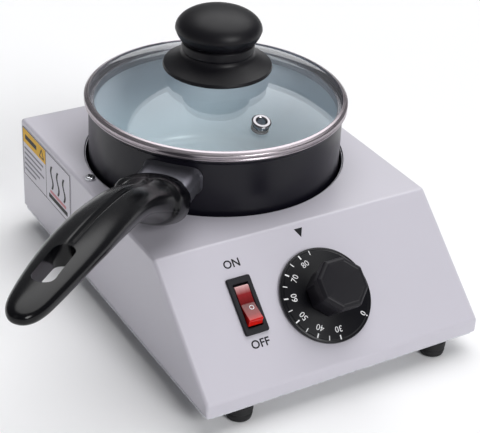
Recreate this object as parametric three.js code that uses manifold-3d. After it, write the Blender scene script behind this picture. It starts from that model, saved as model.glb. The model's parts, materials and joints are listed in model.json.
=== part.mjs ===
// A bench-top electric melting pot for candle wax: a bent-sheet casing with a sloped control
// panel, a dry-heat well in its deck, a lift-out pan with a long grip, and a domed glass lid.
// Millimetres, +Z up, the control panel faces -Y.
import * as THREE from "three";
import { mergeVertices } from "three/addons/utils/BufferGeometryUtils.js";
import Module from "manifold-3d";

const wasm = await Module();
wasm.setup();

// ---------------------------------------------------------------- driving dimensions
const GAP = 0.3; // between pieces that touch

// Casing
const BODY_W = 180;
const BODY_D = 248;
const DECK_Z = 75; // flat deck above the bench
const DECK_D = 185; // deck, from the rear wall to the bend
const FOOT_H = 10;
const PLATE_T = 1.2; // base plate
const SHEET = 1.2; // casing sheet
const BAND_TOP_Z = 19.6; // upright front band, above the bench
const BEND_R = 3;
const EDGE_R = 2;
const FLANGE_D = 24; // turned-in flanges that the base plate is screwed to

// Feet
const FOOT_R = 8;
const FOOT_BOTTOM_R = 7;
const FOOT_INSET_X = 25; // foot centre from the side wall
const FOOT_INSET_Y = 8.2; // foot centre from the front and rear walls

// Pan and its well
const PAN_FROM_REAR = 90.5; // pan axis from the rear wall
const PAN_R = 76.6;
const PAN_WALL = 2;
const PAN_FLOOR = 3;
const PAN_H = 70.4;
const PAN_CORNER_R = 10;
const WELL_GAP = 1.8; // between the pan and the well
const WELL_T = 0.8;
const WELL_FLANGE = 8.3;
const WELL_DEPTH = 40; // deck to the underside of the well's floor
const HOLE_REVEAL = 0.4; // deck hole outside the well
const HEAT_PLATE_T = 3;
const HEATER_R = 48; // centre line of the tubular heater
const HEATER_TUBE_R = 3.2;
const HEATER_OPENING = 60; // degrees left open at the front
const HEATER_TAIL = 18;
const CLAMP_T = 1.4;
const CLAMP_NUT_H = 3.2;
const STUD_R = 2;
const STUD_L = 7; // below the clamp
const BULB_R = 2.5; // sensing bulb of the thermostat
const BULB_L = 55;
const BULB_X = 12;
const BULB_GAP = 1; // bulb below the well's floor
const BAND_T = 4; // insulation round the well
const BAND_H = 27;
const PAD_R = 62; // insulation under the heater
const PAD_T = 6;
const ROUND = 40; // sides of the large concentric pieces

// Pan handle: it leaves the pan wall at this angle, toward the front left
const HANDLE_ANGLE = 222.2; // degrees from +X
const FERRULE_W = 34;
const FERRULE_H = 16;
const FERRULE_DROP = 14; // ferrule centre below the pan's rim
const FERRULE_OUT = 31.4; // ferrule length from the pan wall
const GRIP_OFF = 18.9; // collar face from the pan wall
const GRIP_DROP = 17.4; // collar centre below the pan's rim
const GRIP_L = 181;
const SLOT_L = 33;
const SLOT_W = 11.5;
const SLOT_FROM_END = 42;

// Lid
const LID_OVERHANG = 2.6; // lid past the pan wall
const LID_BAND_H = 4.9;
const LID_SKIRT = 5;
const GLASS_T = 3.2;
const GLASS_RISE = 16;
const VENT_INSET = 19.1; // vent in from the pan wall
const VENT_ANGLE = -93.2; // degrees from +X
const VENT_HOLE_R = 2.9;
const VENT_FLANGE_R = 5.8;
const KNOB_BASE_R = 32.8;
const KNOB_COLLAR_R = 21.6;
const KNOB_R = 25.7;
const KNOB_H = 19; // mushroom part
const KNOB_COLLAR_H = 18.2; // skirt and collar, from the glass

// Sloped panel: s is measured down the slope from its upper bend
const DIAL_S = 45.1;
const DIAL_R = 27.8;
const DIAL_H = 26;
const HUB_R = 8.6; // grip's hub inside the skirt
const GRIP_R = 15.5;
const SHAFT_R = 3;
const BUSH_R = 5.3;
const THERMO_W = 42;
const THERMO_L = 34;
const THERMO_DEPTH = 24;
const THERMO_SCREWS = 28;
const TAB_X = 14; // push-on terminals, either side of the shaft
const SWITCH_X = -47.1;
const SWITCH_S = 37.9;
const BEZEL_W = 14.9;
const BEZEL_L = 33;
const BEZEL_T = 1.5;
const BEZEL_LIP = 2.9;
const BEZEL_END = 4.5;
const COVER_W = 0.9; // bezel past the edge of its cut-out, across and along
const COVER_L = 2.1;
const SWITCH_DEPTH = 17;
const ROCKER_TILT = 9; // degrees either side of level
const PIVOT_H = -0.6; // pivot from the panel's face
const PIVOT_R = 1;

// Rear wall
const GLAND_X = 62;
const GLAND_Z = 26;
const CABLE_R = 3.6;
const GLAND_WALL = 4.2; // cable bore to the outside of the thread
const GLAND_HEX = 20;
const TERMINAL_W = 26;
const TERMINAL_D = 16;
const TERMINAL_H = 13;
const LABEL_L = 73;
const LABEL_H = 34.5;
const LABEL_FROM_REAR = 3.5;
const LABEL_TOP_Z = 71.5;

// Small fasteners
const SCREW_R = 1.9;
const SCREW_HEAD_R = 3.2;
const SCREW_HEAD_H = 2;
const WIRE_R = 1.2;

// ---------------------------------------------------------------- worked-out places
const FRONT_Y = -BODY_D / 2;
const REAR_Y = BODY_D / 2;
const BEND_Y = REAR_Y - DECK_D;
const SHELL_Z = FOOT_H + PLATE_T + GAP; // lower edge of the casing
const PANEL_RUN = BEND_Y - FRONT_Y;
const PANEL_TILT = Math.atan2(DECK_Z - BAND_TOP_Z, PANEL_RUN);
const PAN_Y = REAR_Y - PAN_FROM_REAR;
const WELL_R = PAN_R + WELL_GAP; // inside of the well
const HOLE_R = WELL_R + WELL_T + HOLE_REVEAL;
const WELL_Z = DECK_Z - WELL_DEPTH; // underside of the well's floor
const HEAT_PLATE_Z = WELL_Z + WELL_T + GAP;
const PAN_Z = HEAT_PLATE_Z + HEAT_PLATE_T + GAP;
const PAN_RIM_Z = PAN_Z + PAN_H;
const HEATER_Z = WELL_Z - GAP - HEATER_TUBE_R;
const CLAMP_Z = HEATER_Z - HEATER_TUBE_R - GAP - CLAMP_T;
const STUD_Z = CLAMP_Z - STUD_L;
const BULB_Z = WELL_Z - BULB_GAP - BULB_R;
const DECK_SCREW_R = WELL_R + WELL_T + 4.3;
const BRACKET_Z = PAN_RIM_Z - FERRULE_DROP;
const LID_R = PAN_R + LID_OVERHANG;
const VENT_R = PAN_R - VENT_INSET; // vent from the lid's axis
const LID_Z = PAN_RIM_Z + GAP;
const GLASS_R = LID_R - 2.2;
const DOME_R = (GLASS_R ** 2 + GLASS_RISE ** 2) / (2 * GLASS_RISE); // outer surface of the glass
const GLASS_TOP_Z = LID_Z + LID_BAND_H - 0.6 + GLASS_RISE;
const KNOB_BASE_Z = GLASS_TOP_Z + GAP;
const KNOB_Z = KNOB_BASE_Z + KNOB_COLLAR_H + GAP;
const FOOT_X = BODY_W / 2 - FOOT_INSET_X;
const FOOT_Y = BODY_D / 2 - FOOT_INSET_Y;
const PLATE_TOP_Z = FOOT_H + PLATE_T;
const PAD_Z = PLATE_TOP_Z + GAP;
const SHAFT_TOP = DIAL_H - 6;
const THERMO_TOP = -SHEET - GAP;
const THERMO_BOTTOM = THERMO_TOP - THERMO_DEPTH;
const ROCKER_W = BEZEL_W - 2 * BEZEL_LIP - 0.4;
const ROCKER_L = BEZEL_L - 2 * BEZEL_END;
const CUTOUT_W = BEZEL_W - 2 * COVER_W;
const CUTOUT_L = BEZEL_L - 2 * COVER_L;
const GLAND_R = CABLE_R + GLAND_WALL; // outside of the gland's thread
const FLANGE_EDGE_Y = REAR_Y - SHEET - FLANGE_D; // inner edge of the rear flange
const TERMINAL = new THREE.Vector3(GLAND_X, FLANGE_EDGE_Y - 2 - TERMINAL_D / 2, PLATE_TOP_Z + GAP);
const EARTH = new THREE.Vector3(-GLAND_X, FLANGE_EDGE_Y - 6, PLATE_TOP_Z + GAP);
const HANDLE_SCREW_X = PAN_R + FERRULE_OUT - 7;
const HANDLE_SCREW_Z = BRACKET_Z - FERRULE_H / 2 - 1.6;

// Height of the glass's outer surface at a distance from the lid's axis.
const glassZ = (r) => GLASS_TOP_Z - DOME_R + Math.sqrt(DOME_R ** 2 - r ** 2);

// ---------------------------------------------------------------- outlines
// Replaces each corner [x, y, radius] that has a radius by an arc.
function filleted(corners, steps = 2) {
  return corners.flatMap(([x, y, radius], i) => {
    const corner = new THREE.Vector2(x, y);
    if (!radius) return [corner];
    const before = new THREE.Vector2(...corners.at(i - 1)).sub(corner).normalize();
    const after = new THREE.Vector2(...corners[(i + 1) % corners.length]).sub(corner).normalize();
    const half = Math.acos(before.dot(after)) / 2;
    const centre = before.clone().add(after).normalize().multiplyScalar(radius / Math.sin(half)).add(corner);
    const start = before.multiplyScalar(radius / Math.tan(half)).add(corner).sub(centre).angle();
    let sweep = after.multiplyScalar(radius / Math.tan(half)).add(corner).sub(centre).angle() - start;
    sweep -= 2 * Math.PI * Math.round(sweep / (2 * Math.PI));
    return Array.from({ length: steps + 1 }, (_, k) => {
      const angle = start + (sweep * k) / steps;
      return new THREE.Vector2(centre.x + radius * Math.cos(angle), centre.y + radius * Math.sin(angle));
    });
  });
}

// Moves every side of a convex anticlockwise outline inward by one distance.
function inset(corners, distance) {
  return corners.map(([x, y, radius], i) => {
    const [px, py] = corners.at(i - 1);
    const [nx, ny] = corners[(i + 1) % corners.length];
    const before = new THREE.Vector2(x - px, y - py).normalize();
    const after = new THREE.Vector2(nx - x, ny - y).normalize();
    const slide = distance / before.cross(after);
    return [
      x + slide * (after.x - before.x),
      y + slide * (after.y - before.y),
      radius ? Math.max(radius - distance, 0.5) : 0,
    ];
  });
}

function rectangle(width, length, radius = 0) {
  const [x, y] = [width / 2, length / 2];
  return [[-x, -y, radius], [x, -y, radius], [x, y, radius], [-x, y, radius]];
}

// ---------------------------------------------------------------- solids
// A closed three.js geometry as a manifold-3d solid.
function solid(geometry) {
  const bare = geometry.index ? geometry.toNonIndexed() : geometry.clone();
  bare.deleteAttribute("normal");
  bare.deleteAttribute("uv");
  const merged = mergeVertices(bare, 1e-4);
  const corners = merged.index.array;
  const kept = [];
  for (let i = 0; i < corners.length; i += 3) {
    const [a, b, c] = corners.subarray(i, i + 3);
    if (a !== b && b !== c && c !== a) kept.push(a, b, c);
  }
  return new wasm.Manifold(
    new wasm.Mesh({
      numProp: 3,
      vertProperties: merged.attributes.position.array,
      triVerts: new Uint32Array(kept),
    }),
  );
}

const moved = (made, x, y, z) => made.translate([x, y, z]);

// A solid of revolution about +Z from [radius, height, fillet] corners, listed anticlockwise.
function turned(corners, segments = 32, steps = 2) {
  const outline = filleted(corners, steps);
  const open = corners[0][0] === 0 && corners.at(-1)[0] === 0;
  if (!open) outline.push(outline[0].clone());
  return solid(new THREE.LatheGeometry(outline, segments).rotateX(Math.PI / 2));
}

// An outline in X and Y, raised from z = 0 to its height.
function raised(corners, height, bevel = 0, steps = 2) {
  const shape = new THREE.Shape(filleted(corners, steps));
  const geometry = new THREE.ExtrudeGeometry(shape, {
    depth: height - 2 * bevel,
    bevelEnabled: bevel > 0,
    bevelThickness: bevel,
    bevelSize: bevel,
    bevelOffset: -bevel,
    bevelSegments: 2,
  });
  return solid(geometry.translate(0, 0, bevel));
}

const block = (width, length, height) => raised(rectangle(width, length), height);
const rod = (radius, height, segments = 16) =>
  turned([[0, 0], [radius, 0], [radius, height], [0, height]], segments);
const hexagon = (across, height) => rod(across / Math.sqrt(3), height, 6);

function ring(inner, outer, height, segments = 24) {
  return turned([[inner, 0], [outer, 0], [outer, height], [inner, height]], segments);
}

// An outline in Y and Z, stretched across X and centred on x = 0.
function across(corners, width, bevel = 0) {
  const turn = new THREE.Matrix4().makeBasis(
    new THREE.Vector3(0, 1, 0),
    new THREE.Vector3(0, 0, 1),
    new THREE.Vector3(1, 0, 0),
  );
  return raised(corners, width, bevel, 3).transform(turn.toArray()).translate([-width / 2, 0, 0]);
}

// A round tube through a list of points.
function tube(points, radius, steps) {
  const section = new THREE.Shape(
    Array.from({ length: 8 }, (_, k) => {
      const angle = (k * Math.PI) / 4;
      return new THREE.Vector2(radius * Math.cos(angle), radius * Math.sin(angle));
    }),
  );
  const path = new THREE.CatmullRomCurve3(points, false, "centripetal");
  return solid(new THREE.ExtrudeGeometry(section, { steps, extrudePath: path }));
}

// A pan-head screw pointing down -Z, its head standing on z = 0, with a cross recess.
function screw(length, radius = SCREW_R, headR = SCREW_HEAD_R, headH = SCREW_HEAD_H) {
  const body = turned(
    [[0, -length], [radius, -length], [radius, 0], [headR, 0], [headR * 0.8, headH], [0, headH]],
    10,
  );
  const bar = moved(block(headR * 1.2, headR * 0.3, headH), 0, 0, headH * 0.4);
  return body.subtract(bar).subtract(bar.rotate([0, 0, 90]));
}

// ---------------------------------------------------------------- finishes
const FINISHES = {
  whitePaint: [0xd6d4dd, 0.5, 0],
  zinc: [0xb4b6ba, 0.4, 0.9],
  stainless: [0xc9cbd0, 0.22, 1],
  aluminium: [0xb8babd, 0.45, 1],
  panCoat: [0x24232c, 0.42, 0.1],
  ferruleMetal: [0x5a5c60, 0.35, 0.9],
  bakelite: [0x141417, 0.2, 0],
  mattBlack: [0x1b1a20, 0.55, 0],
  blackNylon: [0x1d1d20, 0.6, 0],
  rubber: [0x101012, 0.85, 0],
  glass: [0xc4d4da, 0.05, 0],
  redLens: [0x9c1512, 0.18, 0],
  copper: [0xb06a45, 0.35, 1],
  brass: [0xc2a25a, 0.35, 1],
  fibre: [0xe6e2d6, 0.95, 0],
  phenolic: [0x4a2f22, 0.6, 0],
  whiteNylon: [0xe4e2dc, 0.6, 0],
  labelFilm: [0xe9e6e2, 0.5, 0],
  wireBrown: [0x6b4026, 0.6, 0],
  wireBlue: [0x2c55a8, 0.6, 0],
  wireGreen: [0x5f9a3a, 0.6, 0],
  silicone: [0xd8d8d4, 0.7, 0],
};

// Puts one named piece with its own material into a group.
function add(group, name, made, finish) {
  const data = made.getMesh();
  const geometry = new THREE.BufferGeometry();
  geometry.setAttribute("position", new THREE.BufferAttribute(new Float32Array(data.vertProperties), 3));
  geometry.setIndex(new THREE.BufferAttribute(new Uint32Array(data.triVerts), 1));
  geometry.computeVertexNormals();
  const [color, roughness, metalness] = FINISHES[finish];
  const material = new THREE.MeshStandardMaterial({ color, roughness, metalness, flatShading: true });
  const mesh = new THREE.Mesh(geometry, material);
  mesh.name = name;
  group.add(mesh);
  return mesh;
}

// ---------------------------------------------------------------- frames
const machine = new THREE.Group();

// The panel group: X across, Y up the slope, Z out of the panel, origin on the upper bend.
const panel = new THREE.Group();
panel.position.set(0, BEND_Y, DECK_Z);
panel.rotation.x = PANEL_TILT;
panel.updateMatrix();
machine.add(panel);
const onPanel = (made) => made.transform(panel.matrix.toArray());
const panelPoint = (x, s, h) => new THREE.Vector3(x, -s, h).applyMatrix4(panel.matrix);

// The cooking group: its Z axis is the axis of the well, the pan and the lid.
const cooking = new THREE.Group();
cooking.position.set(0, PAN_Y, 0);
machine.add(cooking);

// The handle group: X points away from the pan along the handle.
const handle = new THREE.Group();
handle.rotation.z = THREE.MathUtils.degToRad(HANDLE_ANGLE);
cooking.add(handle);

// ---------------------------------------------------------------- casing
const sideProfile = [
  [FRONT_Y, SHELL_Z],
  [REAR_Y, SHELL_Z],
  [REAR_Y, DECK_Z, BEND_R],
  [BEND_Y, DECK_Z, BEND_R],
  [FRONT_Y, BAND_TOP_Z, BEND_R],
];

const corners4 = [[1, -1], [-1, -1], [1, 1], [-1, 1]];
const footNames = ["front_right", "front_left", "rear_right", "rear_left"];

function housingShell() {
  const outer = across(sideProfile, BODY_W, EDGE_R);
  const hollow = across(inset(sideProfile, SHEET), BODY_W - 2 * SHEET);
  const mouth = block(BODY_W - 2 * SHEET, BODY_D - 2 * SHEET - 2 * FLANGE_D, 4 * SHEET);
  let shell = outer.subtract(hollow).subtract(moved(mouth, 0, 0, SHELL_Z - SHEET));
  shell = shell.subtract(moved(rod(HOLE_R, 20, ROUND), 0, PAN_Y, DECK_Z - 10));
  for (const side of [-1, 1]) {
    shell = shell.subtract(moved(rod(SCREW_R + GAP, 8, 12), side * DECK_SCREW_R, PAN_Y, DECK_Z - 4));
  }
  for (const [x, y] of corners4) {
    shell = shell.subtract(moved(rod(SCREW_R + GAP, 6, 12), x * FOOT_X, y * FOOT_Y, SHELL_Z - 2));
  }
  const switchHole = moved(block(CUTOUT_W, CUTOUT_L, 8), SWITCH_X, -SWITCH_S, -5);
  const shaftHole = moved(rod(BUSH_R + 0.5, 8), 0, -DIAL_S, -5);
  shell = shell.subtract(onPanel(switchHole)).subtract(onPanel(shaftHole));
  for (const side of [-1, 1]) {
    const hole = moved(rod(SCREW_R + GAP, 8, 12), (side * THERMO_SCREWS) / 2, -DIAL_S, -5);
    shell = shell.subtract(onPanel(hole));
  }
  return shell.subtract(alongRear(rod(GLAND_R + 0.4, 12, 24), -6));
}

function basePlate() {
  let plate = moved(raised(rectangle(BODY_W - 1.6, BODY_D - 1.6, 3), PLATE_T), 0, 0, FOOT_H);
  for (const [x, y] of corners4) {
    plate = plate.subtract(moved(rod(SCREW_R + GAP, 6, 12), x * FOOT_X, y * FOOT_Y, FOOT_H - 2));
  }
  for (let k = -2; k <= 2; k += 1) {
    const slot = raised(rectangle(4, 26, 1.9), 6);
    plate = plate.subtract(moved(slot, k * 14, FRONT_Y + 48, FOOT_H - 2));
  }
  return plate;
}

function foot() {
  return turned(
    [
      [3.9, 0],
      [FOOT_BOTTOM_R, 0, 0.8],
      [FOOT_R, FOOT_H - 1.5],
      [FOOT_R, FOOT_H - GAP],
      [SCREW_R + GAP, FOOT_H - GAP],
      [SCREW_R + GAP, 4.5],
      [3.9, 4.5],
    ],
    16,
  );
}

// Places something built up +Z on the rear wall, so that +Z points out of the wall.
function alongRear(made, out) {
  return made.translate([0, 0, out]).rotate([-90, 0, 0]).translate([GLAND_X, REAR_Y, GLAND_Z]);
}

function addCasing() {
  add(machine, "housing_shell", housingShell(), "whitePaint");
  add(machine, "base_plate", basePlate(), "zinc");
  corners4.forEach(([x, y], i) => {
    add(machine, "foot_" + footNames[i], moved(foot(), x * FOOT_X, y * FOOT_Y, 0), "rubber");
    const fastener = screw(FOOT_H + 2.5, SCREW_R, 3.5, 1.8).rotate([180, 0, 0]);
    add(machine, "foot_screw_" + footNames[i], moved(fastener, x * FOOT_X, y * FOOT_Y, 4.2), "zinc");
  });
  const label = block(0.25, LABEL_L, LABEL_H);
  const labelY = REAR_Y - LABEL_FROM_REAR - LABEL_L / 2;
  add(machine, "side_label", moved(label, -BODY_W / 2 - 0.2, labelY, LABEL_TOP_Z - LABEL_H), "labelFilm");
}

// ---------------------------------------------------------------- heating
function heatingWell() {
  const outer = WELL_R + WELL_T;
  const flangeZ = DECK_Z - SHEET - GAP;
  let well = turned(
    [
      [0, WELL_Z],
      [outer, WELL_Z, 4],
      [outer, flangeZ - WELL_T],
      [outer + WELL_FLANGE, flangeZ - WELL_T],
      [outer + WELL_FLANGE, flangeZ],
      [outer, flangeZ],
      [outer, DECK_Z - 0.5],
      [WELL_R, DECK_Z - 0.5],
      [WELL_R, WELL_Z + WELL_T, 4 - WELL_T],
      [0, WELL_Z + WELL_T],
    ],
    ROUND,
  );
  for (const side of [-1, 1]) {
    well = well.subtract(moved(rod(SCREW_R + GAP, 8, 12), side * DECK_SCREW_R, 0, flangeZ - 4));
  }
  return well.add(moved(rod(STUD_R, WELL_Z + 0.4 - STUD_Z, 12), 0, 0, STUD_Z));
}

function heaterElement() {
  const open = THREE.MathUtils.degToRad(HEATER_OPENING / 2);
  const first = -Math.PI / 2 + open;
  const sweep = 2 * Math.PI - 2 * open;
  const polar = (radius, angle) =>
    new THREE.Vector3(radius * Math.cos(angle), radius * Math.sin(angle), HEATER_Z);
  const turn = Array.from({ length: 21 }, (_, k) => polar(HEATER_R, first + (sweep * (k + 0.6)) / 21.2));
  const tail = HEATER_R + HEATER_TAIL;
  const points = [
    polar(tail, first),
    polar(HEATER_R + 7, first),
    ...turn,
    polar(HEATER_R + 7, first + sweep),
    polar(tail, first + sweep),
  ];
  return tube(points, HEATER_TUBE_R, 32);
}

function heaterClamp() {
  let clamp = moved(ring(STUD_R + 0.4, HEATER_R + 6, CLAMP_T), 0, 0, CLAMP_Z);
  for (let k = 0; k < 3; k += 1) {
    const window = moved(rod(12, 6), 26, 0, CLAMP_Z - 2).rotate([0, 0, 30 + k * 120]);
    clamp = clamp.subtract(window);
  }
  return clamp;
}

function bulbClip() {
  const outer = BULB_R + GAP + 0.4;
  const strap = [
    [-outer - 3, BULB_Z + BULB_R],
    [-outer - 3, BULB_Z + BULB_R - 0.5],
    [-outer, BULB_Z + BULB_R - 0.5],
    [-outer, BULB_Z - outer, 1.6],
    [outer, BULB_Z - outer, 1.6],
    [outer, BULB_Z + BULB_R - 0.5],
    [outer + 3, BULB_Z + BULB_R - 0.5],
    [outer + 3, BULB_Z + BULB_R],
    [outer - 0.4, BULB_Z + BULB_R],
    [outer - 0.4, BULB_Z - outer + 0.4, 1.2],
    [-outer + 0.4, BULB_Z - outer + 0.4, 1.2],
    [-outer + 0.4, BULB_Z + BULB_R],
  ];
  return moved(raised(strap, 8).rotate([90, 0, 0]), BULB_X, 8, 0);
}

function addHeating() {
  add(cooking, "heating_well", heatingWell(), "aluminium");
  add(cooking, "heat_plate", moved(rod(WELL_R - 5, HEAT_PLATE_T, ROUND), 0, 0, HEAT_PLATE_Z), "aluminium");
  add(cooking, "heater_element", heaterElement(), "stainless");
  add(cooking, "heater_clamp", heaterClamp(), "zinc");
  const nut = hexagon(7, CLAMP_NUT_H).subtract(moved(rod(STUD_R + GAP, 6, 12), 0, 0, -1));
  add(cooking, "heater_clamp_nut", moved(nut, 0, 0, CLAMP_Z - GAP - CLAMP_NUT_H), "zinc");
  add(cooking, "insulation_pad", moved(rod(PAD_R, PAD_T, 40), 0, 0, PAD_Z), "fibre");
  const bandInner = WELL_R + WELL_T + GAP;
  const wrap = moved(ring(bandInner, bandInner + BAND_T, BAND_H, ROUND), 0, 0, WELL_Z + 3);
  add(cooking, "insulation_band", wrap, "fibre");
  const bulb = moved(rod(BULB_R, BULB_L, 16).rotate([90, 0, 0]), BULB_X, BULB_L / 2, BULB_Z);
  add(cooking, "sensor_bulb", bulb, "copper");
  add(cooking, "sensor_bulb_clip", bulbClip(), "stainless");
  for (const [side, name] of [[1, "right"], [-1, "left"]]) {
    const fastener = moved(screw(7), side * DECK_SCREW_R, 0, DECK_Z + GAP);
    add(cooking, "deck_screw_" + name, fastener, "zinc");
  }
}

// ---------------------------------------------------------------- control panel
function thermostatBody() {
  const can = moved(raised(rectangle(THERMO_W, THERMO_L, 3), THERMO_DEPTH), 0, 0, THERMO_BOTTOM);
  const bush = moved(rod(BUSH_R, 1 - THERMO_TOP + 0.6), 0, 0, THERMO_TOP - 1);
  let body = can.add(bush).subtract(moved(rod(SHAFT_R + GAP, 40, 24), 0, 0, THERMO_TOP - 11));
  for (const side of [-1, 1]) {
    const hole = moved(rod(SCREW_R + GAP, 12, 12), (side * THERMO_SCREWS) / 2, 0, THERMO_TOP - 9);
    body = body.subtract(hole);
    const tab = moved(block(0.8, 6.3, 8), side * TAB_X, 4, THERMO_BOTTOM - 7);
    body = body.add(tab);
  }
  return body;
}

function dialSkirt() {
  return turned(
    [
      [HUB_R + 0.4, 4],
      [DIAL_R - 1.8, 1.9],
      [DIAL_R - 1.8, 0.9],
      [DIAL_R, 0.9],
      [DIAL_R, 3.1, 0.5],
      [HUB_R + 0.4, 5.6],
    ],
    ROUND,
  );
}

// Eight-sided grip with a wider chamfered head; its hub passes through the skirt.
function dialGrip() {
  const bore = SHAFT_R + 0.65;
  return turned(
    [
      [0, SHAFT_TOP + 0.5],
      [bore, SHAFT_TOP + 0.5],
      [bore, 9],
      [bore + 1.3, 9],
      [bore + 1.3, 3],
      [bore, 3],
      [bore, 1.2],
      [HUB_R, 1.2],
      [HUB_R, 5.9],
      [GRIP_R - 1.9, 5.9],
      [GRIP_R - 1.9, DIAL_H - 7.9],
      [GRIP_R, DIAL_H - 7],
      [GRIP_R, DIAL_H - 1.4],
      [GRIP_R - 1.4, DIAL_H],
      [0, DIAL_H],
    ],
    8,
  ).rotate([0, 0, 22.5]);
}

// Spring collar between the shaft and the grip's bore, split on one side.
function knobClip() {
  const split = moved(block(3, 1.4, 12), 3.6, 0, -2);
  return moved(ring(SHAFT_R + GAP, SHAFT_R + GAP + 0.6, 5, 24).subtract(split), 0, 0, 3.5);
}

// The rocker's pivot pins as one bar across the switch.
function trunnion(margin) {
  const length = ROCKER_W + 2 + 2 * margin;
  return rod(PIVOT_R + margin, length, 12).rotate([0, 90, 0]).translate([-length / 2, 0, 0]);
}

function switchHousing() {
  const frame = raised(rectangle(BEZEL_W, BEZEL_L, 1.5), BEZEL_T + GAP).translate([0, 0, GAP]);
  const tub = moved(block(CUTOUT_W - 2 * GAP, CUTOUT_L - 2 * GAP, SWITCH_DEPTH + 1), 0, 0, -SWITCH_DEPTH);
  const window = moved(block(ROCKER_W + 2 * GAP, ROCKER_L + 4 * GAP, 16), 0, 0, -11);
  let body = frame.add(tub).subtract(window).subtract(moved(trunnion(GAP), 0, 0, PIVOT_H));
  for (const s of [-7, 7]) {
    body = body.subtract(moved(block(5, 1.4, 12), 0, s, -SWITCH_DEPTH - 2));
  }
  return body;
}

// Rocker in the pivot's own frame: two faces that meet in a shallow valley over the pivot.
function rocker() {
  const half = ROCKER_L / 2;
  const rise = 4.6;
  const outline = [
    [-half, 0.4],
    [-half + 2, -2.6],
    [-3, -5.2],
    [3, -5.2],
    [half - 2, -2.6],
    [half, 0.4],
    [half - 1.4, rise, 1],
    [0, 2.4, 9],
    [-half + 1.4, rise, 1],
  ];
  return across(outline, ROCKER_W).add(trunnion(0)).rotate([-ROCKER_TILT, 0, 0]);
}

function addPanel() {
  const dialY = -DIAL_S;
  add(panel, "thermostat_body", moved(thermostatBody(), 0, dialY, 0), "phenolic");
  for (const [side, name] of [[1, "right"], [-1, "left"]]) {
    const fastener = moved(screw(9, SCREW_R, 3, 1.3), (side * THERMO_SCREWS) / 2, dialY, GAP);
    add(panel, "thermostat_screw_" + name, fastener, "zinc");
  }
  const shaftFoot = THERMO_TOP - 10.5;
  const shaft = rod(SHAFT_R, SHAFT_TOP - shaftFoot, 24);
  add(panel, "thermostat_shaft", moved(shaft, 0, dialY, shaftFoot), "zinc");
  add(panel, "dial_skirt", moved(dialSkirt(), 0, dialY, 0), "bakelite");
  add(panel, "dial_grip", moved(dialGrip(), 0, dialY, 0), "bakelite");
  add(panel, "dial_spring_collar", moved(knobClip(), 0, dialY, 0), "stainless");
  add(panel, "switch_housing", moved(switchHousing(), SWITCH_X, -SWITCH_S, 0), "blackNylon");
  add(panel, "switch_rocker", moved(rocker(), SWITCH_X, -SWITCH_S, PIVOT_H), "redLens");
  for (const [s, name] of [[7, "upper"], [-7, "lower"]]) {
    const blade = moved(block(4.4, 0.8, 10), SWITCH_X, s - SWITCH_S, -SWITCH_DEPTH - 7);
    add(panel, "switch_terminal_" + name, blade, "brass");
  }
}

// ---------------------------------------------------------------- mains side
function addMainsEntry() {
  const body = rod(GLAND_R, 10 + SHEET + GAP, 24)
    .translate([0, 0, -10 - SHEET])
    .add(hexagon(GLAND_HEX, 4.5).translate([0, 0, GAP]))
    .add(rod(GLAND_R - 0.6, 8, 24).translate([0, 0, 4]))
    .subtract(rod(CABLE_R, 40, 24).translate([0, 0, -15]));
  add(machine, "gland_body", alongRear(body, 0), "blackNylon");
  const nutH = 3.5;
  const nut = hexagon(GLAND_HEX, nutH).subtract(rod(GLAND_R + GAP, 8, 24).translate([0, 0, -2]));
  add(machine, "gland_lock_nut", alongRear(nut, -SHEET - GAP - nutH), "blackNylon");
  const dome = turned(
    [
      [GLAND_R - 0.3, 5.2],
      [GLAND_R + 2.4, 5.2],
      [GLAND_R + 2.4, 13],
      [CABLE_R + 2.4, 18, 1.5],
      [CABLE_R + 0.3, 18],
      [CABLE_R + 0.3, 16.3],
      [GLAND_R - 0.3, 15.4],
    ],
    12,
  );
  add(machine, "gland_dome_nut", alongRear(dome, 0), "blackNylon");
  add(machine, "gland_seal", alongRear(ring(CABLE_R + 0.1, GLAND_R - 1.4, 2.6, 24), 12.4), "rubber");
}

function terminalBlock() {
  let body = raised(rectangle(TERMINAL_W, TERMINAL_D, 1.5), TERMINAL_H);
  for (const x of [-8, 0, 8]) {
    body = body.subtract(moved(rod(2.2, 6, 12), x, 0, TERMINAL_H - 4));
  }
  return moved(body, TERMINAL.x, TERMINAL.y, TERMINAL.z);
}

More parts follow.
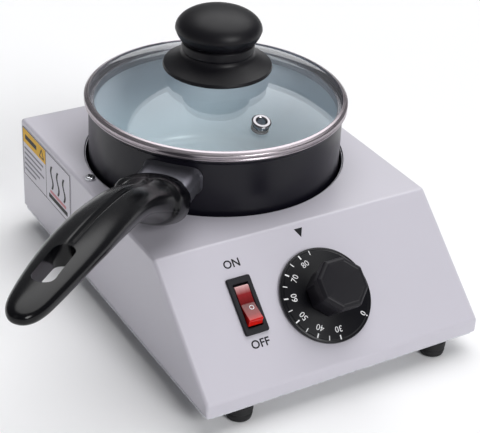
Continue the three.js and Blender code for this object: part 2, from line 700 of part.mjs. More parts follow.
function addWiring() {
  add(machine, "terminal_block", terminalBlock(), "whiteNylon");
  const stud = turned([[0, 0], [4, 0], [4, 1], [2, 1], [2, 11], [0, 11]], 16);
  add(machine, "earth_stud", moved(stud, EARTH.x, EARTH.y, EARTH.z), "brass");
  const nut = hexagon(7, 3).subtract(moved(rod(2.3, 6, 12), 0, 0, -1));
  add(machine, "earth_nut", moved(nut, EARTH.x, EARTH.y, EARTH.z + 4), "zinc");

  const besidePad = PAD_R + 14.8;
  const front = (x) => new THREE.Vector3(TERMINAL.x + x, TERMINAL.y - TERMINAL_D / 2 - 0.6, TERMINAL.z + 6);
  const at = (x, y, z) => new THREE.Vector3(x, y, z);
  const tailR = HEATER_R + HEATER_TAIL;
  const open = THREE.MathUtils.degToRad(HEATER_OPENING / 2);
  const tail = (side, out) =>
    at(side * (tailR + out) * Math.sin(open), PAN_Y - (tailR + out) * Math.cos(open), HEATER_Z);
  const gangway = PAN_Y - PAD_R - 19;
  const neutral = [
    front(0),
    at(TERMINAL.x + 4, TERMINAL.y - 22, TERMINAL.z + 5),
    at(besidePad, PAN_Y, TERMINAL.z + 5),
    at(besidePad - 8, gangway + 12, TERMINAL.z + 8),
    tail(1, 12),
    tail(1, 1),
  ];
  const live = [
    front(8),
    at(TERMINAL.x + 12, TERMINAL.y - 22, TERMINAL.z + 2),
    at(besidePad + 7, PAN_Y, TERMINAL.z + 4),
    at(besidePad, gangway, TERMINAL.z + 4),
    at(0, gangway, TERMINAL.z + 4),
    at(SWITCH_X + 6, gangway, TERMINAL.z + 5),
    panelPoint(SWITCH_X, SWITCH_S - 7, -SWITCH_DEPTH - 14),
    panelPoint(SWITCH_X, SWITCH_S - 7, -SWITCH_DEPTH - 8),
  ];
  const switched = [
    panelPoint(SWITCH_X, SWITCH_S + 7, -SWITCH_DEPTH - 8),
    panelPoint(SWITCH_X + 3, SWITCH_S + 6, -SWITCH_DEPTH - 11),
    panelPoint(-TAB_X - 12, DIAL_S - 5, THERMO_BOTTOM - 9),
    panelPoint(-TAB_X - 2, DIAL_S - 6, THERMO_BOTTOM - 9),
  ];
  const heaterFeed = [
    panelPoint(TAB_X + 2, DIAL_S - 7, THERMO_BOTTOM - 6),
    panelPoint(TAB_X + 8, DIAL_S - 16, THERMO_BOTTOM - 4),
    tail(-1, 20).add(at(48, 0, -6)),
    tail(-1, 11).add(at(6, 0, -4)),
    tail(-1, 1),
  ];
  const earth = [
    front(-8),
    at(TERMINAL.x - 11, TERMINAL.y - TERMINAL_D / 2 - 6, TERMINAL.z + 8),
    at(TERMINAL.x - 30, TERMINAL.y - TERMINAL_D / 2 - 5, TERMINAL.z + 10),
    EARTH.clone().add(at(20, 0, 10)),
    EARTH.clone().add(at(4, 0, 9)),
  ];
  add(machine, "wire_neutral", tube(neutral, WIRE_R, 18), "wireBlue");
  add(machine, "wire_live", tube(live, WIRE_R, 26), "wireBrown");
  add(machine, "wire_switched", tube(switched, WIRE_R, 10), "wireBrown");
  add(machine, "wire_heater_feed", tube(heaterFeed, WIRE_R, 14), "wireBrown");
  add(machine, "wire_earth", tube(earth, WIRE_R, 12), "wireGreen");
  const capillary = [
    at(BULB_X, PAN_Y - BULB_L / 2 - 0.5, BULB_Z),
    at(BULB_X, PAN_Y - BULB_L / 2 - 22, BULB_Z),
    at(BULB_X - 4, PAN_Y - WELL_R - 2, BULB_Z - 3),
    panelPoint(4, DIAL_S - 12, THERMO_BOTTOM - 8),
    panelPoint(4, DIAL_S - 5, THERMO_BOTTOM - 0.6),
  ];
  add(machine, "capillary_tube", tube(capillary, 0.9, 14), "copper");
}

// ---------------------------------------------------------------- pan
function panBody() {
  return turned(
    [
      [0, PAN_Z],
      [PAN_R, PAN_Z, PAN_CORNER_R],
      [PAN_R, PAN_RIM_Z - 2.4],
      [PAN_R + 1.4, PAN_RIM_Z - 1],
      [PAN_R + 1.4, PAN_RIM_Z],
      [PAN_R - PAN_WALL, PAN_RIM_Z],
      [PAN_R - PAN_WALL, PAN_Z + PAN_FLOOR, PAN_CORNER_R - PAN_WALL],
      [0, PAN_Z + PAN_FLOOR],
    ],
    ROUND,
    3,
  );
}

// Ferrule: a rounded-rectangle tube lying along the handle, from one distance to another.
function ferruleBar(from, to, margin) {
  const outline = rectangle(FERRULE_W + 2 * margin, FERRULE_H + 2 * margin, 6 + margin)
    .map(([y, z, radius]) => [y, z + BRACKET_Z, radius]);
  return across(outline, to - from).translate([(from + to) / 2, 0, 0]);
}

function handleFerrule() {
  const tubeBar = ferruleBar(PAN_R - 6, PAN_R + FERRULE_OUT, 0);
  const bore = ferruleBar(PAN_R + FERRULE_OUT - 14, PAN_R + FERRULE_OUT + 2, -1.5);
  return tubeBar.subtract(rod(PAN_R + GAP, 200, ROUND)).subtract(bore);
}

// The grip's centre line and its sections: share of its length, half width, half height.
const GRIP_FACE = new THREE.Vector3(PAN_R + GRIP_OFF, 0, PAN_RIM_Z - GRIP_DROP);
const gripPath = new THREE.CatmullRomCurve3(
  [
    [0, 0],
    [0.145, 0.07],
    [0.285, 0.134],
    [0.45, 0.173],
    [0.62, 0.193],
    [0.79, 0.2],
    [0.99, 0.197],
  ].map(([along, up]) => new THREE.Vector3(along * GRIP_L, 0, up * GRIP_L).add(GRIP_FACE)),
);
const GRIP_SECTIONS = [
  [0, 17.6, 13.2],
  [0.012, 18.8, 14.1],
  [0.045, 19, 14.1],
  [0.085, 18.2, 13.2],
  [0.13, 16.2, 11.8],
  [0.18, 14.2, 10.4],
  [0.25, 13.6, 9.2],
  [0.35, 14.1, 8.3],
  [0.48, 14.8, 7.5],
  [0.61, 14.9, 6.7],
  [0.72, 14, 6.1],
  [0.81, 12.8, 5.8],
  [0.885, 11.4, 5.6],
  [0.935, 10, 5.2],
  [0.968, 8, 4.4],
  [0.988, 5.4, 3.2],
  [0.997, 3, 1.8],
  [1, 0.8, 0.6],
];

// A skin through superellipse sections set square to the grip's centre line.
function gripSkin() {
  const sides = 16;
  const square = 0.86; // below 1, the section is fuller than an ellipse
  const full = (value) => Math.sign(value) * Math.abs(value) ** square;
  const points = [];
  for (const [share, wide, high] of GRIP_SECTIONS) {
    const centre = gripPath.getPointAt(share);
    const ahead = gripPath.getTangentAt(share);
    const up = new THREE.Vector3(-ahead.z, 0, ahead.x);
    for (let k = 0; k < sides; k += 1) {
      const angle = (2 * Math.PI * k) / sides;
      const sideways = wide * full(Math.cos(angle));
      const raise = high * full(Math.sin(angle));
      points.push(centre.x + up.x * raise, sideways, centre.z + up.z * raise);
    }
  }
  const triangles = [];
  const last = (GRIP_SECTIONS.length - 1) * sides;
  for (let k = 0; k < sides; k += 1) {
    const next = (k + 1) % sides;
    for (let row = 0; row < last; row += sides) {
      triangles.push(row + k, row + next, row + sides + next);
      triangles.push(row + k, row + sides + next, row + sides + k);
    }
    if (k > 0 && next > 0) {
      triangles.push(0, next, k);
      triangles.push(last, last + k, last + next);
    }
  }
  const skin = new THREE.BufferGeometry();
  skin.setAttribute("position", new THREE.Float32BufferAttribute(points, 3));
  skin.setIndex(triangles);
  return solid(skin);
}

function handleGrip() {
  const slotX = GRIP_FACE.x + GRIP_L - SLOT_FROM_END;
  const slot = raised(rectangle(SLOT_L, SLOT_W, SLOT_W / 2 - 0.1), 60).translate([slotX, 0, BRACKET_Z]);
  const socket = ferruleBar(PAN_R - 2, PAN_R + FERRULE_OUT + GAP, GAP);
  return gripSkin().subtract(slot).subtract(socket).subtract(handleScrewBore());
}

// The screw that holds the grip on its ferrule comes up from below the collar.
function handleScrewBore() {
  const reach = 30;
  return rod(SCREW_HEAD_R + GAP, reach, 20).translate([HANDLE_SCREW_X, 0, HANDLE_SCREW_Z - reach]);
}

function addPan() {
  add(cooking, "pan_body", panBody(), "panCoat");
  const tapped = rod(SCREW_R + GAP, 6, 16).translate([HANDLE_SCREW_X, 0, BRACKET_Z - FERRULE_H / 2 - 2]);
  add(handle, "handle_ferrule", handleFerrule().subtract(tapped), "ferruleMetal");
  add(handle, "handle_grip", handleGrip().subtract(tapped), "bakelite");
  const fastener = screw(5).rotate([180, 0, 0]).translate([HANDLE_SCREW_X, 0, HANDLE_SCREW_Z - GAP]);
  add(handle, "handle_screw", fastener, "zinc");
}

// ---------------------------------------------------------------- lid
// The dome between two distances from the axis, as profile corners along one of its surfaces.
function domeArc(from, to, depth, steps) {
  return Array.from({ length: steps + 1 }, (_, k) => {
    const r = from + ((to - from) * k) / steps;
    const inner = DOME_R - depth;
    return [r, GLASS_TOP_Z - DOME_R + Math.sqrt(inner ** 2 - r ** 2)];
  });
}

// Turns a solid built round +Z at the origin so that it stands square on the glass at the vent.
function atVent(made) {
  const tilt = (Math.asin(VENT_R / DOME_R) * 180) / Math.PI;
  return made.rotate([0, tilt, 0]).translate([VENT_R, 0, glassZ(VENT_R)]).rotate([0, 0, VENT_ANGLE]);
}

function lidGlass() {
  const dome = turned([...domeArc(0, GLASS_R, GLASS_T, 4), ...domeArc(GLASS_R, 0, 0, 4)], ROUND);
  const ventHole = atVent(rod(VENT_HOLE_R + 1.6, 20, 20).translate([0, 0, -10]));
  return dome.subtract(ventHole).subtract(rod(3, 20, 20).translate([0, 0, GLASS_TOP_Z - 10]));
}

function lidRim() {
  const glassLow = domeArc(GLASS_R, GLASS_R, GLASS_T, 1)[0][1] - GAP;
  const glassIn = GLASS_R - 3.4;
  return turned(
    [
      [GLASS_R + GAP, glassLow],
      [GLASS_R + GAP, glassZ(GLASS_R) + 0.4],
      [glassIn, glassZ(glassIn) + GAP],
      [glassIn, glassZ(glassIn) + GAP + 0.7],
      [GLASS_R + 0.6, LID_Z + LID_BAND_H],
      [LID_R, LID_Z + LID_BAND_H - 1.2],
      [LID_R, LID_Z],
      [PAN_R - PAN_WALL - 0.6, LID_Z],
      [PAN_R - PAN_WALL - 0.6, LID_Z - LID_SKIRT],
      [PAN_R - PAN_WALL - 1.4, LID_Z - LID_SKIRT],
      [PAN_R - PAN_WALL - 1.4, glassLow],
    ].reverse(),
    ROUND,
  );
}

function ventGrommet() {
  const under = GLASS_T + 0.5;
  const over = 0.5;
  return atVent(
    turned(
      [
        [VENT_HOLE_R, -under - 0.8],
        [VENT_FLANGE_R - 0.6, -under - 0.8],
        [VENT_FLANGE_R - 0.6, -under],
        [VENT_HOLE_R + 1.2, -under],
        [VENT_HOLE_R + 1.2, over],
        [VENT_FLANGE_R, over],
        [VENT_FLANGE_R, over + 0.7],
        [VENT_HOLE_R + 0.6, over + 1.1],
        [VENT_HOLE_R, over + 0.6],
      ],
      16,
    ),
  );
}

function knobBase() {
  const z = KNOB_BASE_Z;
  const top = z + KNOB_COLLAR_H;
  return turned(
    [
      [3.4, z],
      [12, z],
      [14, z + 2.6],
      [KNOB_BASE_R - 1, z + 1.2],
      [KNOB_BASE_R, z + 1.9],
      [KNOB_BASE_R - 0.6, z + 3.6],
      [KNOB_COLLAR_R, top - 8.6, 5],
      [KNOB_COLLAR_R, top - 1],
      [KNOB_COLLAR_R - 1, top],
      [3.4, top],
    ],
    32,
  );
}

function knobCap() {
  const z = KNOB_Z;
  const widest = z + KNOB_H * 0.36;
  const dome = Array.from({ length: 7 }, (_, k) => {
    const angle = (k * Math.PI) / 12;
    return [KNOB_R * Math.cos(angle) ** 0.9, widest + KNOB_H * 0.64 * Math.sin(angle)];
  });
  dome[6][0] = 0;
  return turned(
    [
      [0, z + 9],
      [2.6, z + 9],
      [2.6, z],
      [KNOB_COLLAR_R - 0.6, z],
      [KNOB_COLLAR_R + 1.2, z + 1.4],
      [KNOB_R - 0.9, widest - 2.4],
      ...dome,
    ],
    32,
  );
}

function addLid() {
  add(cooking, "lid_glass", lidGlass(), "glass");
  add(cooking, "lid_rim", lidRim(), "stainless");
  add(cooking, "vent_grommet", ventGrommet(), "stainless");
  add(cooking, "lid_knob_base", knobBase(), "mattBlack");
  add(cooking, "lid_knob", knobCap(), "mattBlack");
  const glassUnder = GLASS_TOP_Z - GLASS_T;
  const washerTop = glassUnder - GAP - 0.5;
  const washer = ring(2.6, 9, 1, 24).translate([0, 0, washerTop - 1]);
  add(cooking, "lid_knob_washer", washer, "silicone");
  const headZ = washerTop - 1 - GAP;
  const fastener = screw(KNOB_Z + 8 - headZ, 2.2, 5, 2.4).rotate([180, 0, 0]).translate([0, 0, headZ]);
  add(cooking, "lid_knob_screw", fastener, "stainless");
}

addCasing();
addHeating();
addPanel();
addMainsEntry();
addWiring();
addPan();
addLid();

// The origin is on the bench, below the middle of the whole outline.
const extent = new THREE.Box3().setFromObject(machine, true);
const middle = extent.getCenter(new THREE.Vector3());
machine.position.set(-middle.x, -middle.y, -extent.min.z);

const model = new THREE.Group();
model.add(machine);
export default model;
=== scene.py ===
# %% [markdown]
# # A bench-top melting pot for candle wax
# The real object is a bent-steel casing with a sloped control panel. A coated pan with a long
# moulded handle sits in a heated well in its deck, under a domed glass lid.
# The measured solids of the object are loaded first. They never move, and every piece made
# below takes its place from them, so the looks and the mechanism share one frame.

# %% Load the fixed frame
import json
import math

import bmesh
import bpy
from mathutils import Matrix, Vector


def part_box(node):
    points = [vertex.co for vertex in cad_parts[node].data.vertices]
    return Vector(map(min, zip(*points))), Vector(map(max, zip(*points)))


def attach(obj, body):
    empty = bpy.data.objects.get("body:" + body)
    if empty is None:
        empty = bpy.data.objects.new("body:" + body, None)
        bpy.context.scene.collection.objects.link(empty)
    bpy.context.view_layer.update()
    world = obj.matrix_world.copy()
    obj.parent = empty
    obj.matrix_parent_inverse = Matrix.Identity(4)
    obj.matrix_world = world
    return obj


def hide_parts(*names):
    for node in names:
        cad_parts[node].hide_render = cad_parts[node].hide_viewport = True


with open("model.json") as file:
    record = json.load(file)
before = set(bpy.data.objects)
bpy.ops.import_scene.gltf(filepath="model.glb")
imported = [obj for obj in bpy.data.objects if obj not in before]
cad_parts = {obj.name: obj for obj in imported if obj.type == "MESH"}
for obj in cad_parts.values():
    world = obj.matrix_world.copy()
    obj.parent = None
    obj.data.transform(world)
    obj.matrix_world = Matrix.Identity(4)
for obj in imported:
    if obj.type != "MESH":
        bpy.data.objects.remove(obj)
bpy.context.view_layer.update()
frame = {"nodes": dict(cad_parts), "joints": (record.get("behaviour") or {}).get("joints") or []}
MM = 0.001

# %% [markdown]
# ## Places
# Three small frames make the rest easy to write. The panel frame lies on the sloped face with its
# origin under the dial. The pan frame stands on the axis of the well. The handle frame is the pan
# frame turned until its X axis runs along the handle.

# %% Panel, pan and handle frames
def centre(node):
    low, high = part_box(node)
    return (low + high) / 2


def basis(x, y, z, place):
    made = Matrix((x, y, z)).transposed().to_4x4()
    made.translation = place
    return made


UP = Vector((0, 0, 1))
RIGHT = Vector((1, 0, 0))
joints = {joint["name"]: joint for joint in frame["joints"]}
casing_low, casing_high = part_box("housing_shell")
casing_mid = (casing_low + casing_high) / 2
panel_out = Vector(joints["dial_turn"]["axis"]).normalized()
panel_up = panel_out.cross(RIGHT)
PANEL = basis(RIGHT, panel_up, panel_out, Vector(joints["dial_turn"]["pos_m"]))
pan_axis = Vector((centre("pan_body").x, centre("pan_body").y, 0))
PAN = Matrix.Translation(pan_axis)
along = centre("handle_screw") - pan_axis
along.z = 0
along.normalize()
HANDLE = basis(along, UP.cross(along), UP, pan_axis)
print("pan axis at", [round(v, 4) for v in pan_axis[:2]])

# %% [markdown]
# ## Camera
# A short telephoto view from the front left and above, rolled a little, keeps the casing's
# upright edges nearly parallel, as in a shop's studio.

# %% Camera
AZIMUTH, ELEVATION, ROLL = (math.radians(v) for v in (-31.578, 31.052, 2.966))
SENSOR_MM, LENS_MM = 36, 104.8
CAMERA_PLACE = Vector((-0.380733, -0.62032, 0.483773))
right = Vector((math.cos(AZIMUTH), math.sin(AZIMUTH), 0))
back = Vector((right.y * math.cos(ELEVATION), -right.x * math.cos(ELEVATION), math.sin(ELEVATION)))
above = back.cross(right)
turned_right = right * math.cos(ROLL) + above * math.sin(ROLL)
turned_up = above * math.cos(ROLL) - right * math.sin(ROLL)
camera_data = bpy.data.cameras.new("camera")
camera_data.sensor_width = SENSOR_MM
camera_data.lens = LENS_MM
camera = bpy.data.objects.new("camera", camera_data)
bench_mid = Vector((casing_mid.x, casing_mid.y, 0))
camera.matrix_world = basis(turned_right, turned_up, back, bench_mid + CAMERA_PLACE)
bpy.context.scene.collection.objects.link(camera)
bpy.context.scene.camera = camera
print("camera", round((camera.location - bench_mid).length, 3), "m away")

# %% [markdown]
# ## Writing node trees as expressions
# Both shaders and Geometry Nodes are graphs. `Flow` wraps one output socket, so that arithmetic
# on it adds Math nodes, and `Graph.node` makes any other node from its type, its settings and
# what its sockets are fed.

# %% Flow and Graph
class Flow:
    def __init__(self, graph, socket):
        self.graph = graph
        self.socket = socket

    def math(self, operation, *others):
        fed = dict(enumerate((self, *others)))
        return self.graph.node("ShaderNodeMath", {"operation": operation}, fed)

    def __add__(self, other):
        return self.math("ADD", other)

    def __sub__(self, other):
        return self.math("SUBTRACT", other)

    def __rsub__(self, other):
        return (self - other) * -1.0

    def __mul__(self, other):
        return self.math("MULTIPLY", other)

    def __truediv__(self, other):
        return self.math("DIVIDE", other)

    def __pow__(self, other):
        return self.math("POWER", other)

    __radd__ = __add__
    __rmul__ = __mul__


class Graph:
    def __init__(self, tree):
        self.tree = tree

    @staticmethod
    def find(sockets, key):
        if isinstance(key, int):
            return sockets[key]
        return next(s for s in sockets if s.enabled and key in (s.identifier, s.name))

    def node(self, kind, settings=None, sockets=None, out=0):
        made = self.tree.nodes.new(kind)
        for key, value in (settings or {}).items():
            if key == "stops":
                ramp = made.color_ramp.elements
                for i, (place, colour) in enumerate(value):
                    stop = ramp[i] if i < len(ramp) else ramp.new(place)
                    stop.position = place
                    stop.color = (*colour, 1)
            else:
                setattr(made, key, value)
        for key, value in (sockets or {}).items():
            socket = self.find(made.inputs, key)
            if isinstance(value, Flow):
                self.tree.links.new(value.socket, socket)
            else:
                socket.default_value = value
        return Flow(self, self.find(made.outputs, out)) if len(made.outputs) else None

    def split(self, vector):
        return [self.node("ShaderNodeSeparateXYZ", None, {0: vector}, axis) for axis in range(3)]

    def join(self, x, y, z):
        return self.node("ShaderNodeCombineXYZ", None, {0: x, 1: y, 2: z})

    def arith(self, operation, *vectors):
        return self.node("ShaderNodeVectorMath", {"operation": operation}, dict(enumerate(vectors)))

    def noise(self, where, scale, detail=2.0):
        sockets = {"Vector": where, "Scale": scale, "Detail": detail}
        return self.node("ShaderNodeTexNoise", None, sockets)

    def blend(self, factor, low, high):
        sockets = {"Factor_Float": factor}
        for key, colour in (("A_Color", low), ("B_Color", high)):
            sockets[key] = colour if isinstance(colour, Flow) else (*colour, 1)
        settings = {"data_type": "RGBA"}
        return self.node("ShaderNodeMix", settings, sockets, "Result_Color")

    def steps(self, value, low, high):
        sockets = {"Value": value, "From Min": low, "From Max": high}
        return self.node("ShaderNodeMapRange", {"interpolation_type": "SMOOTHSTEP"}, sockets)


print("graph helpers ready")

# %% [markdown]
# ## Finishes
# Most surfaces share one recipe: a base colour that drifts slowly, a roughness that drifts a
# little faster, and a fine grain that lifts the surface by about a hundredth of a millimetre.
# `finish` holds the recipe, and each real finish is one call with its own scales. All patterns
# read object coordinates in metres, so a grain of 1 mm has a scale of about 1000.

# %% The shared recipe
def new_material(name):
    made = bpy.data.materials.new(name)
    made.use_nodes = True
    made.node_tree.nodes.clear()
    return made, Graph(made.node_tree)


def object_place(graph):
    return graph.node("ShaderNodeTexCoord", None, None, "Object")


def shade(colour, by):
    return tuple(min(1.0, channel * by) for channel in colour)


def linear(*channels):
    return tuple((channel / 255) ** 2.2 for channel in channels)


def principled(graph, colour, roughness, metallic, height, lift, constants=None):
    bump = {"Strength": 1.0, "Distance": lift * MM, "Height": height}
    sockets = {"Base Color": colour, "Roughness": roughness, "Metallic": metallic,
               "Normal": graph.node("ShaderNodeBump", None, bump)}
    sockets.update(constants or {})
    shader = graph.node("ShaderNodeBsdfPrincipled", None, sockets)
    graph.node("ShaderNodeOutputMaterial", None, {"Surface": shader})


def finish(name, colour, rough, metallic=0.0, drift=0.06, drift_scale=25, grain=1100,
           lift=0.02, spread=0.08, constants=None):
    made, graph = new_material(name)
    where = object_place(graph)
    slow = graph.noise(where, drift_scale, 5)
    fine = graph.noise(where, grain, 3)
    smear = graph.noise(where, drift_scale * 6, 4)
    tint = graph.blend(slow, shade(colour, 1 - drift), shade(colour, 1 + drift))
    roughness = rough + (smear - 0.5) * spread + (fine - 0.5) * (spread / 2)
    principled(graph, tint, roughness, metallic, fine, lift, constants)
    return made


print("finish() ready")

# %% [markdown]
# ### Paint, coatings and mouldings
# Powder coat has a soft orange peel. The pan's outside is a satin non-stick coat with a fine
# grain. The handle is glossy phenolic with polishing haze, the lid knob a finer matt moulding.

# %% Plain finishes
DULL = {"Specular IOR Level": 0.27}
paint = finish("powder_coat", linear(197, 194, 204), 0.42, drift=0.015, grain=1300, lift=0.012,
               spread=0.06, constants={"Coat Weight": 0.45, "Coat Roughness": 0.22})
pan_coat = finish("satin_pan_coat", linear(24, 23, 31), 0.32, drift=0.1, grain=2600, lift=0.008,
                  constants=DULL)
knob_plastic = finish("matt_knob_moulding", linear(19, 18, 23), 0.42, drift=0.12, grain=3200,
                      lift=0.012, spread=0.1, constants=DULL)
handle_plastic = finish("polished_phenolic", linear(10, 10, 14), 0.22, drift=0.15, grain=2200,
                        lift=0.002, spread=0.03, constants=DULL)
dial_plastic = finish("dial_skirt_moulding", linear(14, 14, 20), 0.3, drift=0.12, grain=1800,
                      lift=0.003, spread=0.08, constants=DULL)
grip_plastic = finish("dial_grip_moulding", linear(27, 26, 31), 0.44, drift=0.08, grain=3600,
                      lift=0.01, spread=0.08, constants=DULL)
nylon = finish("black_nylon", linear(34, 34, 38), 0.5, drift=0.1, grain=2400, lift=0.012,
               constants=DULL)
rubber = finish("foot_rubber", linear(22, 22, 24), 0.72, drift=0.15, grain=1500, lift=0.03)
zinc = finish("zinc_plate", linear(208, 209, 214), 0.28, 1.0, drift=0.1, drift_scale=160,
              grain=2400, lift=0.006, spread=0.2)
chrome = finish("bright_steel", linear(214, 214, 218), 0.14, 1.0, drift=0.03, grain=2000,
                lift=0.002, spread=0.08)
ferrule_steel = finish("dark_ferrule_steel", linear(116, 116, 124), 0.34, 0.85, drift=0.14,
                       drift_scale=90, grain=1700, lift=0.006, spread=0.16)
print("plain finishes:", len(bpy.data.materials))

# %% [markdown]
# ### The parts inside
# Copper, brass, mineral fibre, phenolic and coloured insulation are hidden in use, but anyone
# who opens the casing sees them, so each still has its own grain. The earth wire's stripes are a
# sine wave across the wire, cut into two colours.

# %% Finishes of the inner parts
copper = finish("copper", linear(184, 112, 78), 0.32, 1.0, drift=0.12, drift_scale=120)
brass = finish("brass", linear(196, 164, 92), 0.3, 1.0, drift=0.1, drift_scale=140)
fibre = finish("mineral_fibre", linear(228, 224, 210), 0.95, drift=0.12, drift_scale=300,
               grain=900, lift=0.25, spread=0.04)
phenolic = finish("brown_phenolic", linear(84, 56, 42), 0.55, drift=0.15, drift_scale=200)
white_nylon = finish("white_nylon", linear(228, 226, 220), 0.5, drift=0.03)
silicone = finish("silicone", linear(214, 214, 210), 0.6, drift=0.04)
brown_wire = finish("brown_insulation", linear(108, 66, 40), 0.5, drift=0.08)
blue_wire = finish("blue_insulation", linear(44, 84, 168), 0.5, drift=0.08)


def striped_insulation():
    made, graph = new_material("green_yellow_insulation")
    where = object_place(graph)
    x, y, z = graph.split(where)
    band = graph.steps((x * 300 + y * 120 + z * 200).math("SINE"), -0.1, 0.1)
    colour = graph.blend(band, linear(96, 154, 58), linear(222, 204, 66))
    fine = graph.noise(where, 900)
    principled(graph, colour, 0.5 + fine * 0.05, 0.0, fine, 0.01)
    return made


earth_wire = striped_insulation()
print("inner finishes ready")

# %% [markdown]
# ### Turned and spun metal
# The lid's band, the well and the heat plate are shaped on a lathe, which leaves fine rings round
# the axis. The rings come from noise that is stretched along the angle and squeezed along the
# radius and the height.

# %% Turned metal
def turned_metal(name, colour, rough, rings=2600, lift=0.004):
    made, graph = new_material(name)
    from_axis = graph.arith("SUBTRACT", object_place(graph), tuple(pan_axis))
    x, y, z = graph.split(from_axis)
    radius = (x * x + y * y) ** 0.5
    angle = y.math("ARCTAN2", x)
    groove = graph.noise(graph.join(radius * rings, angle * 2.2, z * rings), 1.0, 4)
    slow = graph.noise(from_axis, 30, 4)
    tint = graph.blend(slow, shade(colour, 0.94), shade(colour, 1.06))
    roughness = rough + (groove - 0.5) * 0.14 + (slow - 0.5) * 0.08
    principled(graph, tint, roughness, 1.0, groove, lift)
    return made


rim_steel = turned_metal("brushed_lid_band", linear(172, 164, 169), 0.28)
well_metal = turned_metal("spun_well", linear(150, 150, 156), 0.34, rings=1500, lift=0.01)
plate_metal = turned_metal("turned_heat_plate", linear(168, 168, 174), 0.36, rings=900, lift=0.02)
print("turned metals ready")

# %% [markdown]
# ### Ceramic lining
# The pan is glazed pale blue-grey inside. The glaze clouds slightly and shows faint dark pinholes.
# The walls are painted lighter and the floor darker and greener: painted light on the walls and
# painted shade on the floor, changing with height.

# %% Ceramic lining
def ceramic_lining():
    made, graph = new_material("ceramic_glaze")
    where = object_place(graph)
    low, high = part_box("pan_body")
    height = graph.split(where)[2]
    rise = graph.steps(height, low.z, high.z)
    cloud = graph.noise(where, 18, 4)
    # Painted shade on the floor and painted light on the walls, blended by height.
    floor_tint_painted_shade = graph.blend(cloud, linear(194, 207, 214), linear(200, 213, 219))
    wall_tint_painted_light = graph.blend(cloud, linear(236, 237, 245), linear(242, 243, 250))
    body = graph.blend(rise, floor_tint_painted_shade, wall_tint_painted_light)
    specks = graph.steps(graph.noise(where, 1900, 1), 0.7, 0.76)
    colour = graph.blend(specks * 0.35, body, linear(120, 132, 140))
    ripple = graph.noise(where, 260, 2)
    principled(graph, colour, 0.22 + cloud * 0.08, 0.0, ripple, 0.003)
    return made


lining_glaze = ceramic_lining()
print("ceramic ready")

# %% [markdown]
# ### Glass and the rocker's lens
# Clear glass only reflects strongly when it is seen nearly edge on. Mixing a Transparent shader
# with a mirror by the facing angle shows that, and light still reaches the pan's floor.
# The rocker is clear red plastic under a polished coat. Its light and shade are painted into a colour
# ramp along the rocker: a painted glow of bright red at the lower end, painted shade of dark red at
# the valley, and a painted pale pink reflection at the upper end.

# %% Clear glass and red lens
def clear_glass():
    made, graph = new_material("clear_glass")
    facing = graph.node("ShaderNodeLayerWeight", None, {"Blend": 0.5}, "Facing")
    mirror = 0.035 + (facing ** 4.5) * 0.8
    through = graph.node("ShaderNodeBsdfTransparent", None, {"Color": (0.95, 0.975, 0.98, 1)})
    where = object_place(graph)
    ripple = {"Distance": 0.004 * MM, "Height": graph.noise(where, 60, 2)}
    uneven = graph.node("ShaderNodeBump", None, ripple)
    shine_sockets = {"Base Color": (0.96, 0.98, 1.0, 1), "Metallic": 1.0,
                     "Roughness": 0.02 + graph.noise(where, 400) * 0.02, "Normal": uneven}
    shine = graph.node("ShaderNodeBsdfPrincipled", None, shine_sockets)
    mixed = graph.node("ShaderNodeMixShader", None, {0: mirror, 1: through, 2: shine})
    graph.node("ShaderNodeOutputMaterial", None, {"Surface": mixed})
    return made


ROCKER_LENGTH = 24


def red_lens_painted_light():
    made, graph = new_material("red_rocker_lens_painted_light")
    where = object_place(graph)
    pivot = Vector(joints["rocker_tilt"]["pos_m"])
    from_pivot = graph.arith("SUBTRACT", where, tuple(pivot))
    share = graph.arith("MULTIPLY", from_pivot, tuple(panel_up / (ROCKER_LENGTH * MM)))
    x, y, z = graph.split(share)
    # The ramp's stops are painted light and shade: a bright red glow at the lower end, dark red shade
    # at the valley and a pale pink reflection at the upper end.
    stops = [(0.0, linear(236, 36, 26)), (0.1, linear(206, 22, 18)), (0.24, linear(142, 12, 12)),
             (0.5, linear(96, 6, 8)), (0.76, linear(146, 40, 44)), (0.97, linear(228, 182, 182))]
    body = graph.node("ShaderNodeValToRGB", {"stops": stops}, {0: x + y + z + 0.5})
    ribs = graph.noise(graph.arith("MULTIPLY", where, (900, 120, 120)), 1.0, 2)
    colour = graph.blend(ribs * 0.3, body, linear(70, 2, 6))
    principled(graph, colour, 0.1 + ribs * 0.06, 0.0, ribs, 0.004,
               {"Coat Weight": 0.2, "Coat Roughness": 0.08})
    return made


glass = clear_glass()
lens = red_lens_painted_light()
print("glass and lens ready")

# %% [markdown]
# ### Inks
# Printing is a thin layer of ink, almost flat and never quite even. The label's film is a smooth
# pale plastic.

# %% Inks
def ink(name, colour):
    return finish(name, colour, 0.5, drift=0.07, drift_scale=400, grain=4000, lift=0.003,
                  constants=DULL)


white_ink = ink("white_ink", linear(236, 236, 238))
black_ink = ink("black_ink", linear(18, 18, 24))
grey_ink = ink("grey_ink", linear(128, 126, 136))
yellow_ink = ink("yellow_ink", linear(226, 176, 40))
pink_ink = ink("pink_ink", linear(206, 138, 146))
label_film = finish("label_film", linear(208, 205, 214), 0.38, drift=0.02, grain=2000, lift=0.004)
print("materials in all:", len(bpy.data.materials))

# %% [markdown]
# ## Building pieces
# Meshes are repaired in small steps, each a function on an open bmesh, and `edit` runs a few of
# them on a mesh. `final_mesh` gives the mesh that an object's modifiers lead to, and `applied` puts
# it in the object and drops the modifiers.

# %% Editing and applying
def linked(name, mesh):
    made = bpy.data.objects.new(name, mesh)
    bpy.context.scene.collection.objects.link(made)
    return made


def merge(work):
    bmesh.ops.remove_doubles(work, verts=work.verts, dist=1e-6)


def drop_slivers(work):
    bmesh.ops.dissolve_degenerate(work, edges=work.edges, dist=1e-7)


def face_out(work):
    bmesh.ops.recalc_face_normals(work, faces=work.faces)


def fill_holes(work):
    open_edges = [edge for edge in work.edges if len(edge.link_faces) == 1]
    bmesh.ops.holes_fill(work, edges=open_edges, sides=0)


def smooth(work):
    for face in work.faces:
        face.smooth = True


